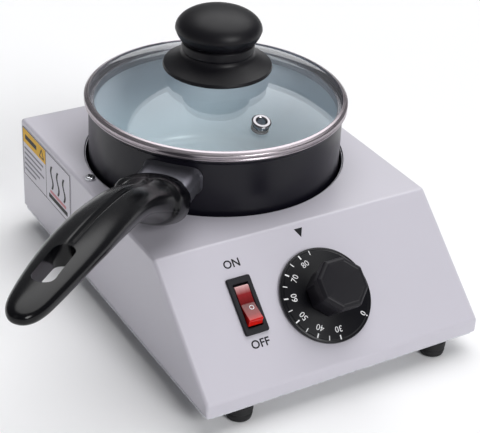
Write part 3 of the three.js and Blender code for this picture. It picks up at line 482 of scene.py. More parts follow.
def edit(piece, *steps):
    work = bmesh.new()
    work.from_mesh(piece.data)
    for step in steps:
        step(work)
    work.to_mesh(piece.data)
    work.free()
    return piece


def final_mesh(piece):
    ready = piece.evaluated_get(bpy.context.evaluated_depsgraph_get())
    return bpy.data.meshes.new_from_object(ready)


def applied(piece):
    plain = final_mesh(piece)
    piece.modifiers.clear()
    piece.data = plain
    return piece


print("mesh steps ready")

# %% [markdown]
# `settle` gives a mesh its finish, its smooth shading with crisp edges, and its place in the
# mechanism. Doubles are merged first, and then the faces are turned to point outwards.

# %% settle: from mesh to finished piece
CREASE = math.radians(32)


def settle(piece, material, body, stands_for=(), place=None, crease=CREASE):
    mesh = piece.data
    if place is not None:
        mesh.transform(place)
    edit(piece, merge, drop_slivers, face_out, smooth)
    mesh.set_sharp_from_angle(angle=crease)
    mesh.materials.clear()
    mesh.materials.append(material)
    shading = piece.modifiers.new("weighted", "WEIGHTED_NORMAL")
    shading.keep_sharp = True
    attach(piece, body)
    if stands_for:
        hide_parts(*stands_for)
    return piece


print("settle() ready, creases over", round(math.degrees(CREASE)), "degrees stay sharp")

# %% [markdown]
# Most pieces start as a flat outline. `rounded` takes its corners, each with a radius if it has
# one, and puts an arc in each corner. `shrunk` moves a whole outline inwards, and `loft` skins a
# row of outlines into a solid.

# %% Outlines and lofts
def rounded(corners, steps):
    points = []
    for i, (x, y, *radius) in enumerate(corners):
        here = Vector((x, y))
        if not radius or not radius[0]:
            points.append(here)
            continue
        before = (Vector(corners[i - 1][:2]) - here).normalized()
        after = (Vector(corners[(i + 1) % len(corners)][:2]) - here).normalized()
        half = before.angle(after) / 2
        reach = radius[0] / math.tan(half)
        mid = here + (before + after).normalized() * (radius[0] / math.sin(half))
        first, last = here + before * reach - mid, here + after * reach - mid
        sweep = first.angle(last)
        for k in range(steps + 1):
            share = k / steps
            arc = first * math.sin((1 - share) * sweep) + last * math.sin(share * sweep)
            points.append(mid + arc / math.sin(sweep))
    return points


def shrunk(points, distance):
    made = []
    for i, here in enumerate(points):
        before = (here - points[i - 1]).normalized()
        after = (points[(i + 1) % len(points)] - here).normalized()
        inward = Vector((-before.y - after.y, before.x + after.x))
        made.append(here + inward * (distance / (1 + before.dot(after))))
    return made


def rectangle(width, length, radius, steps=5):
    x, y = width / 2, length / 2
    corners = [(-x, -y, radius), (x, -y, radius), (x, y, radius), (-x, y, radius)]
    return rounded(corners, steps)


def loft(name, rings):
    mesh = bpy.data.meshes.new(name)
    count = len(rings[0])
    points = [tuple(p * MM for p in point) for ring in rings for point in ring]
    faces = []
    for low in range(0, len(points) - count, count):
        for i in range(count):
            j = (i + 1) % count
            faces.append((low + i, low + j, low + count + j, low + count + i))
    faces.append(tuple(range(count))[::-1])
    faces.append(tuple(range(len(points) - count, len(points))))
    mesh.from_pydata(points, [], faces)
    return linked(name, mesh)


print("a rounded square has", len(rectangle(1, 1, 0.1)), "points")

# %% [markdown]
# ## Geometry Nodes
# A tree is built like a material, from the same `Graph`. `new_tree` gives it named inputs,
# `close_tree` ends it with Realize Instances and Set Material, and `grown` runs it on a mesh and
# keeps the result as a plain mesh.

# %% Helpers for trees
def new_tree(name, inputs):
    tree = bpy.data.node_groups.new(name, "GeometryNodeTree")
    tree.is_modifier = True
    face = tree.interface
    face.new_socket(name="Geometry", in_out="INPUT", socket_type="NodeSocketGeometry")
    for label, kind in inputs:
        face.new_socket(name=label, in_out="INPUT", socket_type="NodeSocket" + kind)
    face.new_socket(name="Finish", in_out="INPUT", socket_type="NodeSocketMaterial")
    face.new_socket(name="Geometry", in_out="OUTPUT", socket_type="NodeSocketGeometry")
    graph = Graph(tree)
    graph.entry = tree.nodes.new("NodeGroupInput")
    return graph


def given(graph, label):
    return Flow(graph, graph.entry.outputs[label])


def close_tree(graph, geometry):
    real = graph.node("GeometryNodeRealizeInstances", None, {0: geometry})
    coated = graph.node(
        "GeometryNodeSetMaterial", None, {"Geometry": real, "Material": given(graph, "Finish")}
    )
    graph.node("NodeGroupOutput", None, {0: coated})


def grown(name, mesh, graph, **values):
    piece = linked(name, mesh)
    modifier = piece.modifiers.new("shape", "NODES")
    modifier.node_group = graph.tree
    for item in graph.tree.interface.items_tree:
        if item.in_out == "INPUT" and item.name in values:
            modifier[item.identifier] = values[item.name]
    return applied(piece)


print("tree helpers ready")

# %% [markdown]
# ### Everything turned
# Pan, well, lid, knob, dial skirt and feet are all solids of revolution. One node tree makes them:
# it lays a grid, reads the outline's points from the modifier's own mesh, and bends each row of
# the grid round the axis. `Sides` sets how round the piece is.

# %% The turning tree
def station_grid(graph, columns):
    outline = given(graph, "Geometry")
    size = {"component": "MESH"}
    count = graph.node("GeometryNodeAttributeDomainSize", size, {0: outline}, "Point Count")
    sockets = {"Size X": 1.0, "Size Y": 1.0, "Vertices X": columns + 1, "Vertices Y": count}
    grid = graph.node("GeometryNodeMeshGrid", None, sockets)
    x, y, _ = graph.split(graph.node("GeometryNodeInputPosition"))
    angle = (x + 0.5) * (2 * math.pi)
    station = ((y + 0.5) * (count - 1)).math("ROUND")
    return outline, grid, angle, station


def read_at(graph, outline, value, station, kind="FLOAT_VECTOR"):
    settings = {"data_type": kind, "domain": "POINT"}
    sockets = {"Geometry": outline, "Value": value, "Index": station}
    return graph.node("GeometryNodeSampleIndex", settings, sockets)


def turning_tree():
    graph = new_tree("turned_piece", [("Sides", "Int")])
    outline, grid, angle, station = station_grid(graph, given(graph, "Sides"))
    place = read_at(graph, outline, graph.node("GeometryNodeInputPosition"), station)
    radius, _, height = graph.split(place)
    bent = graph.join(radius * angle.math("COSINE"), radius * angle.math("SINE"), height)
    moved = graph.node("GeometryNodeSetPosition", None, {"Geometry": grid, "Position": bent})
    sewn = graph.node("GeometryNodeMergeByDistance", None, {"Geometry": moved, "Distance": 1e-6})
    close_tree(graph, sewn)
    return graph


TURNING = turning_tree()


def turned(name, corners, material, sides=160, steps=5):
    outline = rounded(corners, steps)
    if all(abs(p.x) > 1e-9 for p in outline):
        outline.append(outline[0])
    mesh = bpy.data.meshes.new(name)
    mesh.from_pydata([(p.x * MM, 0, p.y * MM) for p in outline], [], [])
    return grown(name, mesh, TURNING, Sides=sides, Finish=material)


print("turning tree has", len(TURNING.tree.nodes), "nodes")

# %% [markdown]
# ## Wide solids and openings
# `across` lofts a side outline over a width and rounds its long edges. `cut` takes tool solids
# away from a piece with exact booleans, and most openings have a box or a round bar as their tool.

# %% Solids and cutting tools
def across(name, points, width, middle, edge, steps=4):
    rings = []
    for side in (-1, 1):
        for k in range(steps + 1):
            turn = math.pi / 2 * (steps - k if side < 0 else k) / steps
            x = middle + side * (width / 2 - edge + edge * math.sin(turn))
            inner = shrunk(points, edge * (1 - math.cos(turn)))
            rings.append([(x, p.x, p.y) for p in inner])
    return loft(name, rings)


def cut(piece, *tools):
    for tool in tools:
        knife = piece.modifiers.new("cut", "BOOLEAN")
        knife.operation = "DIFFERENCE"
        knife.solver = "EXACT"
        knife.object = tool
        applied(piece)
        bpy.data.objects.remove(tool)
    return piece


def straight_tool(outline, bottom, top, place):
    rings = [[(x, y, z) for x, y in outline] for z in (bottom, top)]
    tool = edit(loft("tool", rings), face_out)
    if place is not None:
        tool.data.transform(place)
    return tool


def box_tool(width, length, bottom, top, place=None, radius=0.6):
    return straight_tool(rectangle(width, length, radius, 3), bottom, top, place)


def round_tool(radius, bottom, top, place=None, sides=160):
    angles = [2 * math.pi * k / sides for k in range(sides)]
    outline = [(radius * math.cos(a), radius * math.sin(a)) for a in angles]
    return straight_tool(outline, bottom, top, place)


print("cutting tools ready")

# %% [markdown]
# ## Casing
# The casing is one bent sheet: an upright band, the sloped panel, the flat deck and two sides.
# Its side outline is lofted across the width with a small radius on every long edge, then
# hollowed, and the openings for the well, the shaft, the switch and the cable gland are cut.
# Each opening has its own frame, so a tool is always drawn upright at an origin.

# %% Casing shell
SHEET, EDGE, BEND = 1.2, 2, 3
SHAFT_HOLE_R, GLAND_HOLE_R, WELL_GAP = 5.8, 8.2, 1.2
SWITCH_CUTOUT = (13.1, 28.8)
MOUTH_INSET, REACH = 25, 6
RIM_LIP, PAN_GAP = 1.4, 1.8
pan_low, pan_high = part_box("pan_body")
PAN_R = (pan_high.x - pan_low.x) / 2 / MM - RIM_LIP
WELL_R = PAN_R + PAN_GAP
shell_low, shell_high = casing_low / MM, casing_high / MM
shell_width, shell_length = shell_high.x - shell_low.x, shell_high.y - shell_low.y
dial_at = PANEL.translation / MM
slope = panel_up.z / panel_up.y
bend_y = dial_at.y + (shell_high.z - dial_at.z) / slope
band_z = dial_at.z - (dial_at.y - shell_low.y) * slope
side_outline = rounded([
    (shell_low.y, shell_low.z), (shell_high.y, shell_low.z), (shell_high.y, shell_high.z, BEND),
    (bend_y, shell_high.z, BEND), (shell_low.y, band_z, BEND),
], 8)
middle = casing_mid.x / MM
inner_width = shell_width - 2 * SHEET
casing = edit(across("casing", side_outline, shell_width, middle, EDGE), face_out)
cavity = across("cavity", shrunk(side_outline, SHEET), inner_width, middle, EDGE / 2)
mouth = box_tool(
    inner_width - 2 * SHEET, shell_length - 2 * MOUTH_INSET, shell_low.z - 2, shell_low.z + 4,
    Matrix.Translation(bench_mid),
)
deck_hole = round_tool(WELL_R + WELL_GAP, shell_high.z - 2 * REACH, shell_high.z + REACH, PAN)
shaft_hole = round_tool(SHAFT_HOLE_R, -REACH, REACH, PANEL, 48)
rocker_pivot = PANEL.inverted() @ Vector(joints["rocker_tilt"]["pos_m"])
SWITCH = PANEL @ Matrix.Translation(Vector((rocker_pivot.x, rocker_pivot.y, 0)))
switch_hole = box_tool(*SWITCH_CUTOUT, -REACH, REACH, SWITCH)
gland_at = centre("gland_seal")
REAR = basis(RIGHT, Vector((0, 0, -1)), Vector((0, 1, 0)),
             Vector((gland_at.x, casing_high.y, gland_at.z)))
gland_hole = round_tool(GLAND_HOLE_R, -REACH, REACH, REAR, 48)
cut(casing, edit(cavity, face_out), mouth, deck_hole, shaft_hole, switch_hole, gland_hole)
settle(casing, paint, "base", ["housing_shell"])
print("casing faces:", len(casing.data.polygons))

# %% [markdown]
# ## Well and heat plate
# When the pan is lifted out, the spun well shows, with a turned plate on its floor. Both are
# turned from an outline of radii and heights. The plate's rings are real grooves, half a
# millimetre deep, which a loop writes into the outline.

# %% Well and heat plate
well_low, well_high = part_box("heating_well")
plate_low, plate_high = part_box("heat_plate")
WELL_T = 0.8
well_floor = plate_low.z / MM - 0.3
well_bottom = well_floor - WELL_T
well_top = well_high.z / MM
flange_z = shell_high.z - SHEET - 0.3
outer = WELL_R + WELL_T
flange = (well_high.x - well_low.x) / 2 / MM
STUD_R, stud_z = 2, well_low.z / MM
well = turned(
    "well",
    [
        (0, stud_z), (STUD_R, stud_z, 0.4), (STUD_R, well_bottom), (outer, well_bottom, 4),
        (outer, flange_z - WELL_T, 0.6), (flange, flange_z - WELL_T), (flange, flange_z),
        (outer, flange_z, 0.3), (outer, well_top, 0.3), (WELL_R, well_top, 0.3),
        (WELL_R, well_floor, 3.2), (0, well_floor),
    ],
    well_metal,
)
settle(well, well_metal, "base", ["heating_well"])


def ringed_plate():
    radius = (plate_high.x - plate_low.x) / 2 / MM
    bottom, top = plate_low.z / MM, plate_high.z / MM
    corners = [(0, bottom), (radius, bottom, 0.4), (radius, top, 0.8)]
    pitch, depth, margin = 6, 0.5, 5
    r = radius - margin
    while r > pitch:
        corners += [(r, top, 0.2), (r - 0.6, top - depth), (r - 1.6, top - depth), (r - 2.2, top, 0.2)]
        r -= pitch
    return corners + [(0, top)]


plate = turned("heat_plate_top", ringed_plate(), plate_metal, 160, 2)
settle(plate, plate_metal, "base", ["heat_plate"])
print("well", round(2 * WELL_R, 1), "mm wide inside")

# %% [markdown]
# ## Feet
# Feet and screws repeat, so one tree puts a copy of an item on every point of a mesh. The item
# is made once, at the origin. A foot is a short rubber cone with a shallow groove round its
# middle, hollow below where its screw's head is sunk.

# %% Copies at points
def copying_tree():
    graph = new_tree("copies_at_points", [("Item", "Object"), ("Flip", "Float")])
    info = graph.node("GeometryNodeObjectInfo", None, {"Object": given(graph, "Item")}, "Geometry")
    turn = graph.join(given(graph, "Flip"), 0.0, 0.0)
    sockets = {"Points": given(graph, "Geometry"), "Instance": info, "Rotation": turn}
    close_tree(graph, graph.node("GeometryNodeInstanceOnPoints", None, sockets))
    return graph


COPIES = copying_tree()


def copies(name, item, points, material, flip=0.0):
    mesh = bpy.data.meshes.new(name)
    mesh.from_pydata([tuple(p) for p in points], [], [])
    made = grown(name, mesh, COPIES, Item=item, Flip=flip, Finish=material)
    bpy.data.objects.remove(item)
    return made


FEET = ["front_right", "front_left", "rear_right", "rear_left"]
foot_low, foot_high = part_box("foot_front_right")
foot_r = (foot_high.x - foot_low.x) / 2 / MM
foot_h = foot_high.z / MM
FOOT_BORE, SUNK_R, SUNK_Z = 2.2, 3.9, 4.5
foot_item = turned(
    "foot_item",
    [
        (SUNK_R, 0), (foot_r - 1, 0, 0.8), (foot_r - 0.4, 3.2, 0.5), (foot_r - 0.8, 3.8, 0.3),
        (foot_r - 0.8, 4.6, 0.3), (foot_r - 0.2, 5.2, 0.5), (foot_r - 0.02, foot_h, 0.3),
        (FOOT_BORE, foot_h), (FOOT_BORE, SUNK_Z), (SUNK_R, SUNK_Z),
    ],
    rubber, 64, 3,
)
foot_points = [Vector((*centre("foot_" + name)[:2], 0)) for name in FEET]
feet = copies("rubber_feet", foot_item, foot_points, rubber)
settle(feet, rubber, "base", ["foot_" + name for name in FEET])
print("feet:", len(foot_points), "copies,", round(foot_h, 1), "mm high")

# %% [markdown]
# ## Screws
# Two screws hold the well's flange under the deck, and four hold the feet from below, upside down.
# Each head is domed, and a cross is cut into it. A thin black cross lies at the bottom of the cut in
# each of the two that show: painted shade for the dark depth of the recess.

# %% Cross-head screws
SHANK_R = 1.8
DECK_HEAD, FOOT_HEAD = (3.2, 1.9), (3.4, 1.75)
DECK_LENGTH, FOOT_LENGTH = 7, 12.2


def cross_bars(head_r, bottom, top, slack=0.0):
    long, narrow = head_r * 1.3 - slack, head_r * 0.36 - slack
    sizes = ((long, narrow), (narrow, long))
    return [box_tool(*size, bottom, top, radius=0.2) for size in sizes]


def screw_item(head_r, head_h, length):
    body = turned(
        "screw_item",
        [(0, -length), (SHANK_R, -length, 0.3), (SHANK_R, 0), (head_r, 0, 0.2),
         (head_r * 0.86, head_h, head_h * 0.5), (0, head_h * 1.02)],
        zinc, 48, 4,
    )
    return cut(edit(body, face_out), *cross_bars(head_r, head_h * 0.3, head_h * 2))


# A thin black cross of painted shade that darkens the bottom of a screw's recess.
def painted_shade_cross_item(head_r, head_h):
    first, second = cross_bars(head_r, head_h * 0.3 + 0.01, head_h * 0.3 + 0.05, 0.04)
    second.data.transform(Matrix.Translation((0, 0, 0.03 * MM)))
    edit(first, lambda work: work.from_mesh(second.data))
    bpy.data.objects.remove(second)
    return first


DECK_SCREWS = ["deck_screw_left", "deck_screw_right"]
deck_points = [Vector((*centre(name)[:2], casing_high.z + 0.3 * MM)) for name in DECK_SCREWS]
deck_screws = copies("deck_screws", screw_item(*DECK_HEAD, DECK_LENGTH), deck_points, zinc)
settle(deck_screws, zinc, "base", DECK_SCREWS)
# Painted shade in the recesses of the two deck screws.
deck_recess_painted_shade = copies("deck_screw_recesses", painted_shade_cross_item(*DECK_HEAD), deck_points, black_ink)
settle(deck_recess_painted_shade, black_ink, "base")
under_points = [p + Vector((0, 0, (SUNK_Z - 0.3) * MM)) for p in foot_points]
foot_screws = copies("foot_screws", screw_item(*FOOT_HEAD, FOOT_LENGTH), under_points, zinc, math.pi)
settle(foot_screws, zinc, "base", ["foot_screw_" + name for name in FEET])
print("screws:", len(deck_points) + len(under_points))

# %% [markdown]
# ## Pan
# The pan is pressed from sheet and coated outside. Its pale lining is a separate thin shell that
# follows the inside, so the two finishes meet in a crisp line at the rim.

# %% Pan wall and lining
PAN_WALL, PAN_FLOOR, SKIN = 2, 3, 0.35
pan_floor = pan_low.z / MM
rim_z = pan_high.z / MM
inside = PAN_R - PAN_WALL
pan_top = pan_floor + PAN_FLOOR
under_skin = pan_top - SKIN
rim_r = PAN_R + RIM_LIP - 0.02
pan_wall = turned(
    "pan_wall",
    [
        (0, pan_floor), (PAN_R - 14, pan_floor, 0.5), (PAN_R - 13, pan_floor + 0.6, 0.4),
        (PAN_R - 11, pan_floor + 0.2, 1), (PAN_R, pan_floor + 0.2, 9.6),
        (PAN_R, rim_z - 2.6, 1.5), (rim_r, rim_z - 1, 0.5), (rim_r, rim_z, 0.4),
        (inside + SKIN, rim_z, 0.2), (inside + SKIN, under_skin, 8), (0, under_skin),
    ],
    pan_coat, 192, 7,
)
settle(pan_wall, pan_coat, "pan", ["pan_body"])
SLIT = 0.02
lining_r, lining_z = inside + SKIN - SLIT, under_skin + SLIT
lining = turned(
    "pan_lining",
    [
        (0, lining_z), (lining_r, lining_z, 8), (lining_r, rim_z - 0.3), (inside, rim_z - 0.5, 0.15),
        (inside, pan_top, 7.6), (0, pan_top),
    ],
    lining_glaze, 192, 7,
)
settle(lining, lining_glaze, "pan")
print("pan radius", round(PAN_R, 2), "mm")

# %% [markdown]
# ## Ferrule
# A flattened steel tube carries the handle. Its root is cut to the curve of the pan wall and
# flares a little where it is welded on, so its section is lofted outward from the wall.

# %% Ferrule
FERRULE_W, FERRULE_H, FERRULE_L = 34, 16, 31.4
FERRULE_EDGE, TUBE_WALL = 5.5, 1.5
bracket_z = centre("handle_ferrule").z / MM
ferrule_out = PAN_R + FERRULE_L


def ferrule_ring(reach, grow, curved=False):
    outline = rectangle(FERRULE_W + 2 * grow, FERRULE_H + 2 * grow, FERRULE_EDGE + grow, 8)
    ring = []
    for p in outline:
        start = math.sqrt((PAN_R + 0.35) ** 2 - p.x * p.x) if curved else 0
        ring.append((start + reach, p.x, bracket_z + p.y))
    return ring


ferrule = loft(
    "ferrule",
    [
        ferrule_ring(0, 0.9, True), ferrule_ring(0.7, 0.85, True), ferrule_ring(1.6, 0.35, True),
        ferrule_ring(3, 0, True), ferrule_ring(ferrule_out - 8, 0), ferrule_ring(ferrule_out, 0),
        ferrule_ring(ferrule_out, -TUBE_WALL), ferrule_ring(ferrule_out - 14, -TUBE_WALL),
    ],
)
settle(ferrule, ferrule_steel, "pan", ["handle_ferrule"], HANDLE)
print("ferrule faces:", len(ferrule.data.polygons))

# %% [markdown]
# ## Handle grip
# The grip follows a rule: a rounded section swept along a rising spine, wide at the collar, narrow
# at the neck and broad again at the hand. A few stops give the rule: shares of the length with the
# spine's height, and shares with the section's half width and half height in millimetres.
# `through` runs a smooth curve through such stops that never overshoots them.

# %% The grip's rule
GRIP_L, COLLAR_OUT, COLLAR_DROP = 180.9, 18.9, 17.4
grip_face = Vector((PAN_R + COLLAR_OUT, 0, rim_z - COLLAR_DROP))
SPINE = [
    (0, 0), (0.145, 0.07), (0.285, 0.134), (0.45, 0.173), (0.62, 0.193), (0.79, 0.2), (0.99, 0.197),
]
SECTIONS = [
    (0, 16.4, 12.2), (0.006, 18, 13.4), (0.02, 18.8, 14.05), (0.06, 18.9, 14), (0.1, 18, 13.3),
    (0.125, 15.7, 11.9), (0.18, 14, 10.2), (0.25, 13.5, 9.2), (0.35, 14.1, 8.3), (0.48, 14.8, 7.5),
    (0.61, 14.9, 6.7), (0.72, 14, 6.1), (0.81, 12.8, 5.8), (0.885, 11.4, 5.6), (0.935, 10, 5.2),
    (0.968, 8, 4.4), (0.988, 5.4, 3.2), (0.997, 2.9, 1.8), (1, 0, 0),
]


def through(stops, share):
    i = max(k for k in range(len(stops) - 1) if stops[k][0] <= share)
    ends = [stops[max(i - 1, 0)], stops[i], stops[i + 1], stops[min(i + 2, len(stops) - 1)]]
    t = (share - ends[1][0]) / (ends[2][0] - ends[1][0])
    out = []
    for axis in range(1, len(stops[0])):
        a, b, c, d = (end[axis] for end in ends)
        gap = ends[2][0] - ends[1][0]
        lead = (c - a) / max(ends[2][0] - ends[0][0], 1e-6) * gap
        trail = (d - b) / max(ends[3][0] - ends[1][0], 1e-6) * gap
        cubic = (
            (2 * t**3 - 3 * t**2 + 1) * b + (t**3 - 2 * t**2 + t) * lead
            + (3 * t**2 - 2 * t**3) * c + (t**3 - t**2) * trail
        )
        out.append(max(min(cubic, max(b, c)), min(b, c)))
    return out


FINE = 400
runs = [k * SPINE[-1][0] * GRIP_L / FINE for k in range(FINE + 1)]
spine = [grip_face + Vector((run, 0, through(SPINE, run / GRIP_L)[0] * GRIP_L)) for run in runs]
travel = [0.0]
for first, second in zip(spine, spine[1:]):
    travel.append(travel[-1] + (second - first).length)
print("spine", round(travel[-1], 1), "mm long")

# %% [markdown]
# The stations of the sweep are points of a mesh, closer together near both ends. Each carries the
# section's size and the spine's direction as attributes, and how deep the groove, the thumb hollow,
# the dimple and the collar's hood are there.

# %% Stations with attributes
STATIONS = 190


def on_spine(share):
    goal = share * travel[-1]
    i = max(k for k in range(FINE) if travel[k] <= goal)
    part = (goal - travel[i]) / (travel[i + 1] - travel[i])
    ahead = (spine[min(i + 6, FINE)] - spine[max(i - 5, 0)]).normalized()
    return spine[i].lerp(spine[i + 1], min(part, 1)), ahead


def spaced(k):
    return 0.55 * (0.5 - 0.5 * math.cos(math.pi * k / STATIONS)) + 0.45 * k / STATIONS


def bell(share, at, width):
    return math.exp(-(((share - at) / width) ** 2))


def groove_depth(share):
    return min(1, max(0, (share - 0.07) / 0.05)) * min(1, max(0, (0.7 - share) / 0.03))


def hood_size(share):
    return 1.7 * min(1, share / 0.03) / (1 + math.exp((share - 0.118) / 0.006))


shares = [spaced(k) for k in range(STATIONS + 1)]
placed = [on_spine(share) for share in shares]
grip_mesh = bpy.data.meshes.new("grip")
grip_mesh.from_pydata([tuple(p * MM) for p, _ in placed], [], [])
sizes = [through(SECTIONS, share) for share in shares]
columns = {
    "wide": [w for w, _ in sizes], "high": [h for _, h in sizes],
    "groove": [groove_depth(share) for share in shares],
    "hollow": [bell(share, 0.07, 0.033) for share in shares],
    "dimple": [bell(share, 0.05, 0.011) for share in shares],
    "hood": [hood_size(share) for share in shares],
}
for key, column in columns.items():
    values = grip_mesh.attributes.new(key, "FLOAT", "POINT").data
    values.foreach_set("value", [value * MM for value in column])
vectors = grip_mesh.attributes.new("ahead", "FLOAT_VECTOR", "POINT").data
vectors.foreach_set("vector", [part for _, ahead in placed for part in ahead])
print("stations:", len(shares))

# %% [markdown]
# The tree bends a grid round the spine. Narrow bell curves in the angle press the groove, the
# parting lines, the thumb hollow on the collar and a small dimple beside it. The hood widens the
# collar toward one side only.

# %% The sweeping tree
def sweeping_tree():
    graph = new_tree("swept_grip", [("Sides", "Int"), ("Fullness", "Float")])
    outline, grid, angle, station = station_grid(graph, given(graph, "Sides"))

    def attribute(name, kind="FLOAT"):
        field = graph.node("GeometryNodeInputNamedAttribute", {"data_type": kind}, {"Name": name})
        return read_at(graph, outline, field, station, kind)

    middle = read_at(graph, outline, graph.node("GeometryNodeInputPosition"), station)
    ahead = attribute("ahead", "FLOAT_VECTOR")
    ahead_x, _, ahead_z = graph.split(ahead)
    fullness = given(graph, "Fullness")

    def full(value):
        return value.math("ABSOLUTE") ** fullness * value.math("SIGN")

    def valley(at, width):
        apart = (angle - at) / width
        return (apart * apart * -1.0).math("EXPONENT")

    groove = attribute("groove")
    top = valley(math.pi / 2, 0.06) * groove * 1.5
    top += valley(math.pi * 0.61, 0.36) * attribute("hollow") * 3.2
    top += valley(math.pi * 0.36, 0.09) * attribute("dimple") * 0.8
    sides = (valley(math.pi * 1.93, 0.03) + valley(math.pi * 1.07, 0.03)) * groove * 0.5
    hood = attribute("hood")
    sideways = (attribute("wide") + hood) * full(angle.math("COSINE")) * (1.0 - sides * 30.0) - hood
    raised = attribute("high") * full(angle.math("SINE")) - top
    place = graph.join(ahead_z * raised * -1.0, sideways, ahead_x * raised)
    bent = graph.arith("ADD", middle, place)
    moved = graph.node("GeometryNodeSetPosition", None, {"Geometry": grid, "Position": bent})
    sewn = graph.node("GeometryNodeMergeByDistance", None, {"Geometry": moved, "Distance": 1e-6})
    close_tree(graph, sewn)
    return graph


SWEEPING = sweeping_tree()
grip = grown("grip", grip_mesh, SWEEPING, Sides=176, Fullness=0.86, Finish=handle_plastic)
edit(grip, merge, fill_holes, face_out)
print("skin of the grip:", len(grip.data.polygons), "faces")

# %% [markdown]
# Three openings are cut from the skin: the hanging eye near the tip, the socket that takes the
# ferrule, and a hole under it for the screw that holds the two together.

# %% Openings of the grip
EYE = (33, 11.5, 5.6)
SCREW_HOLE_R = 3.5
eye_x = grip_face.x + GRIP_L - 42
eye_tool = loft("tool", [[(p.x + eye_x, p.y, z) for p in rectangle(*EYE, 10)] for z in (100, 160)])
socket = rectangle(FERRULE_W + 0.6, FERRULE_H + 0.6, FERRULE_EDGE + 0.3, 8)
socket_tool = loft("tool", [
    [(x, p.x, p.y + bracket_z) for p in socket] for x in (PAN_R - 2, ferrule_out + 0.3)
])
screw_place = Matrix.Translation(Vector((ferrule_out - 7, 0, bracket_z)) * MM)
screw_tool = round_tool(SCREW_HOLE_R, -30, -1.6 - FERRULE_H / 2, screw_place, 48)
cut(grip, edit(eye_tool, face_out), edit(socket_tool, face_out), screw_tool)
settle(grip, handle_plastic, "pan", ["handle_grip"], HANDLE, math.radians(40))
print("grip faces:", len(grip.data.polygons))

# %% [markdown]
# ## Lid
# A pressed dome of glass sits in a rolled steel band. The outline of the dome is two arcs with one
# centre, a glass's thickness apart. The vent's hole is drilled square to the dome, so `VENT` is a
# frame that leans with it.

# %% Lid glass and band
RISE, GLASS_T, VENT_HOLE_R = 16, 3.2, 4.5
band_low, band_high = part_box("lid_rim")
LID_R = (band_high.x - band_low.x) / 2 / MM
GLASS_R = LID_R - 2.2
glass_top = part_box("lid_glass")[1].z / MM
DOME_R = (GLASS_R**2 + RISE**2) / (2 * RISE)
lid_z = rim_z + 0.3
band_top = lid_z + 4.9


def dome_z(r, depth=0.0):
    return glass_top - DOME_R + math.sqrt((DOME_R - depth) ** 2 - r * r)


reach = [GLASS_R * k / 40 for k in range(3, 41)]
dome = [(r, dome_z(r, GLASS_T)) for r in reach] + [(r, dome_z(r)) for r in reversed(reach)]
VENT_R = PAN_R - 19.1
vent_way = centre("vent_grommet") - pan_axis
vent_turn = math.atan2(vent_way.y, vent_way.x)
vent_lean = math.asin(VENT_R / DOME_R)
VENT = (
    PAN @ Matrix.Rotation(vent_turn, 4, "Z")
    @ Matrix.Translation(Vector((VENT_R, 0, dome_z(VENT_R))) * MM) @ Matrix.Rotation(vent_lean, 4, "Y")
)
lid_glass = turned("lid_glass_dome", dome, glass, 192)
lid_glass.data.transform(PAN)
cut(edit(lid_glass, face_out), round_tool(VENT_HOLE_R, -10, 10, VENT, 48))
lid_glass.data.transform(PAN.inverted())
settle(lid_glass, glass, "lid", ["lid_glass"])
inner_z = dome_z(GLASS_R, GLASS_T) - 0.3
bead = GLASS_R - 0.9
tongue = PAN_R - 2.6
band = turned(
    "lid_band",
    [
        (tongue - 0.8, inner_z, 0.2), (tongue - 0.8, lid_z - 5, 0.3), (tongue, lid_z - 5, 0.3),
        (tongue, lid_z, 0.2), (LID_R - 0.3, lid_z, 0.3), (LID_R, lid_z + 0.7, 0.5),
        (LID_R - 0.5, lid_z + 1.7, 0.6), (LID_R, lid_z + 2.6, 0.8), (LID_R, band_top - 1.2, 1.1),
        (GLASS_R + 0.6, band_top, 0.9), (bead, dome_z(bead) + 1, 0.3), (bead, dome_z(bead) + 0.3, 0.2),
        (GLASS_R + 0.3, dome_z(GLASS_R) + 0.4), (GLASS_R + 0.3, inner_z),
    ],
    rim_steel, 192,
)
settle(band, rim_steel, "lid", ["lid_rim"])
print("lid radius", round(LID_R, 2), "mm, dome radius", round(DOME_R, 1), "mm")

# %% [markdown]
# ## Vent eyelet
# A bright eyelet lines the steam vent, with a rubber seal under the glass. Both are turned upright
# and then laid into the leaning vent frame.

# %% Vent eyelet
EYELET_BORE, EYELET_OUT, FLANGE_R = 2.9, 4.1, 5.2
under = -GLASS_T - 0.5
eyelet_steel = finish("eyelet_steel", linear(150, 148, 152), 0.2, 1.0, drift=0.05, lift=0.002)
eyelet = turned(
    "vent_eyelet",
    [
        (EYELET_BORE, under - 0.8, 0.2), (FLANGE_R, under - 0.8, 0.2), (FLANGE_R, under, 0.2),
        (EYELET_OUT, under), (EYELET_OUT, 0.5), (5.75, 0.5, 0.2), (5.75, 1.0, 0.3), (4.9, 1.55, 0.5),
        (3.5, 1.6, 0.5), (EYELET_BORE, 1.1, 0.3),
    ],
    eyelet_steel, 96,
)
settle(eyelet, eyelet_steel, "lid", ["vent_grommet"])
seal_in, seal_out = EYELET_OUT + 0.05, FLANGE_R + 0.1
vent_seal = turned(
    "vent_seal",
    [(seal_in, under - 0.85, 0.2), (seal_out, under - 0.85, 0.3), (seal_out, under + 0.1, 0.2),
     (seal_in, under + 0.1)],
    rubber, 64, 3,
)
settle(vent_seal, rubber, "lid")
for piece in (eyelet, vent_seal):
    piece.data.transform(PAN.inverted() @ VENT)
print("vent hole at", round(math.degrees(vent_turn)), "degrees")

# %% [markdown]
# ## Knob
# The knob is two mouldings: a skirt with a waisted collar, and a mushroom cap that a screw pulls
# down on it. Their outlines bend gently, so a few points are joined by a smooth spline before the
# outline is turned. The loop at the end sets every piece turned at the origin on the pan's axis.

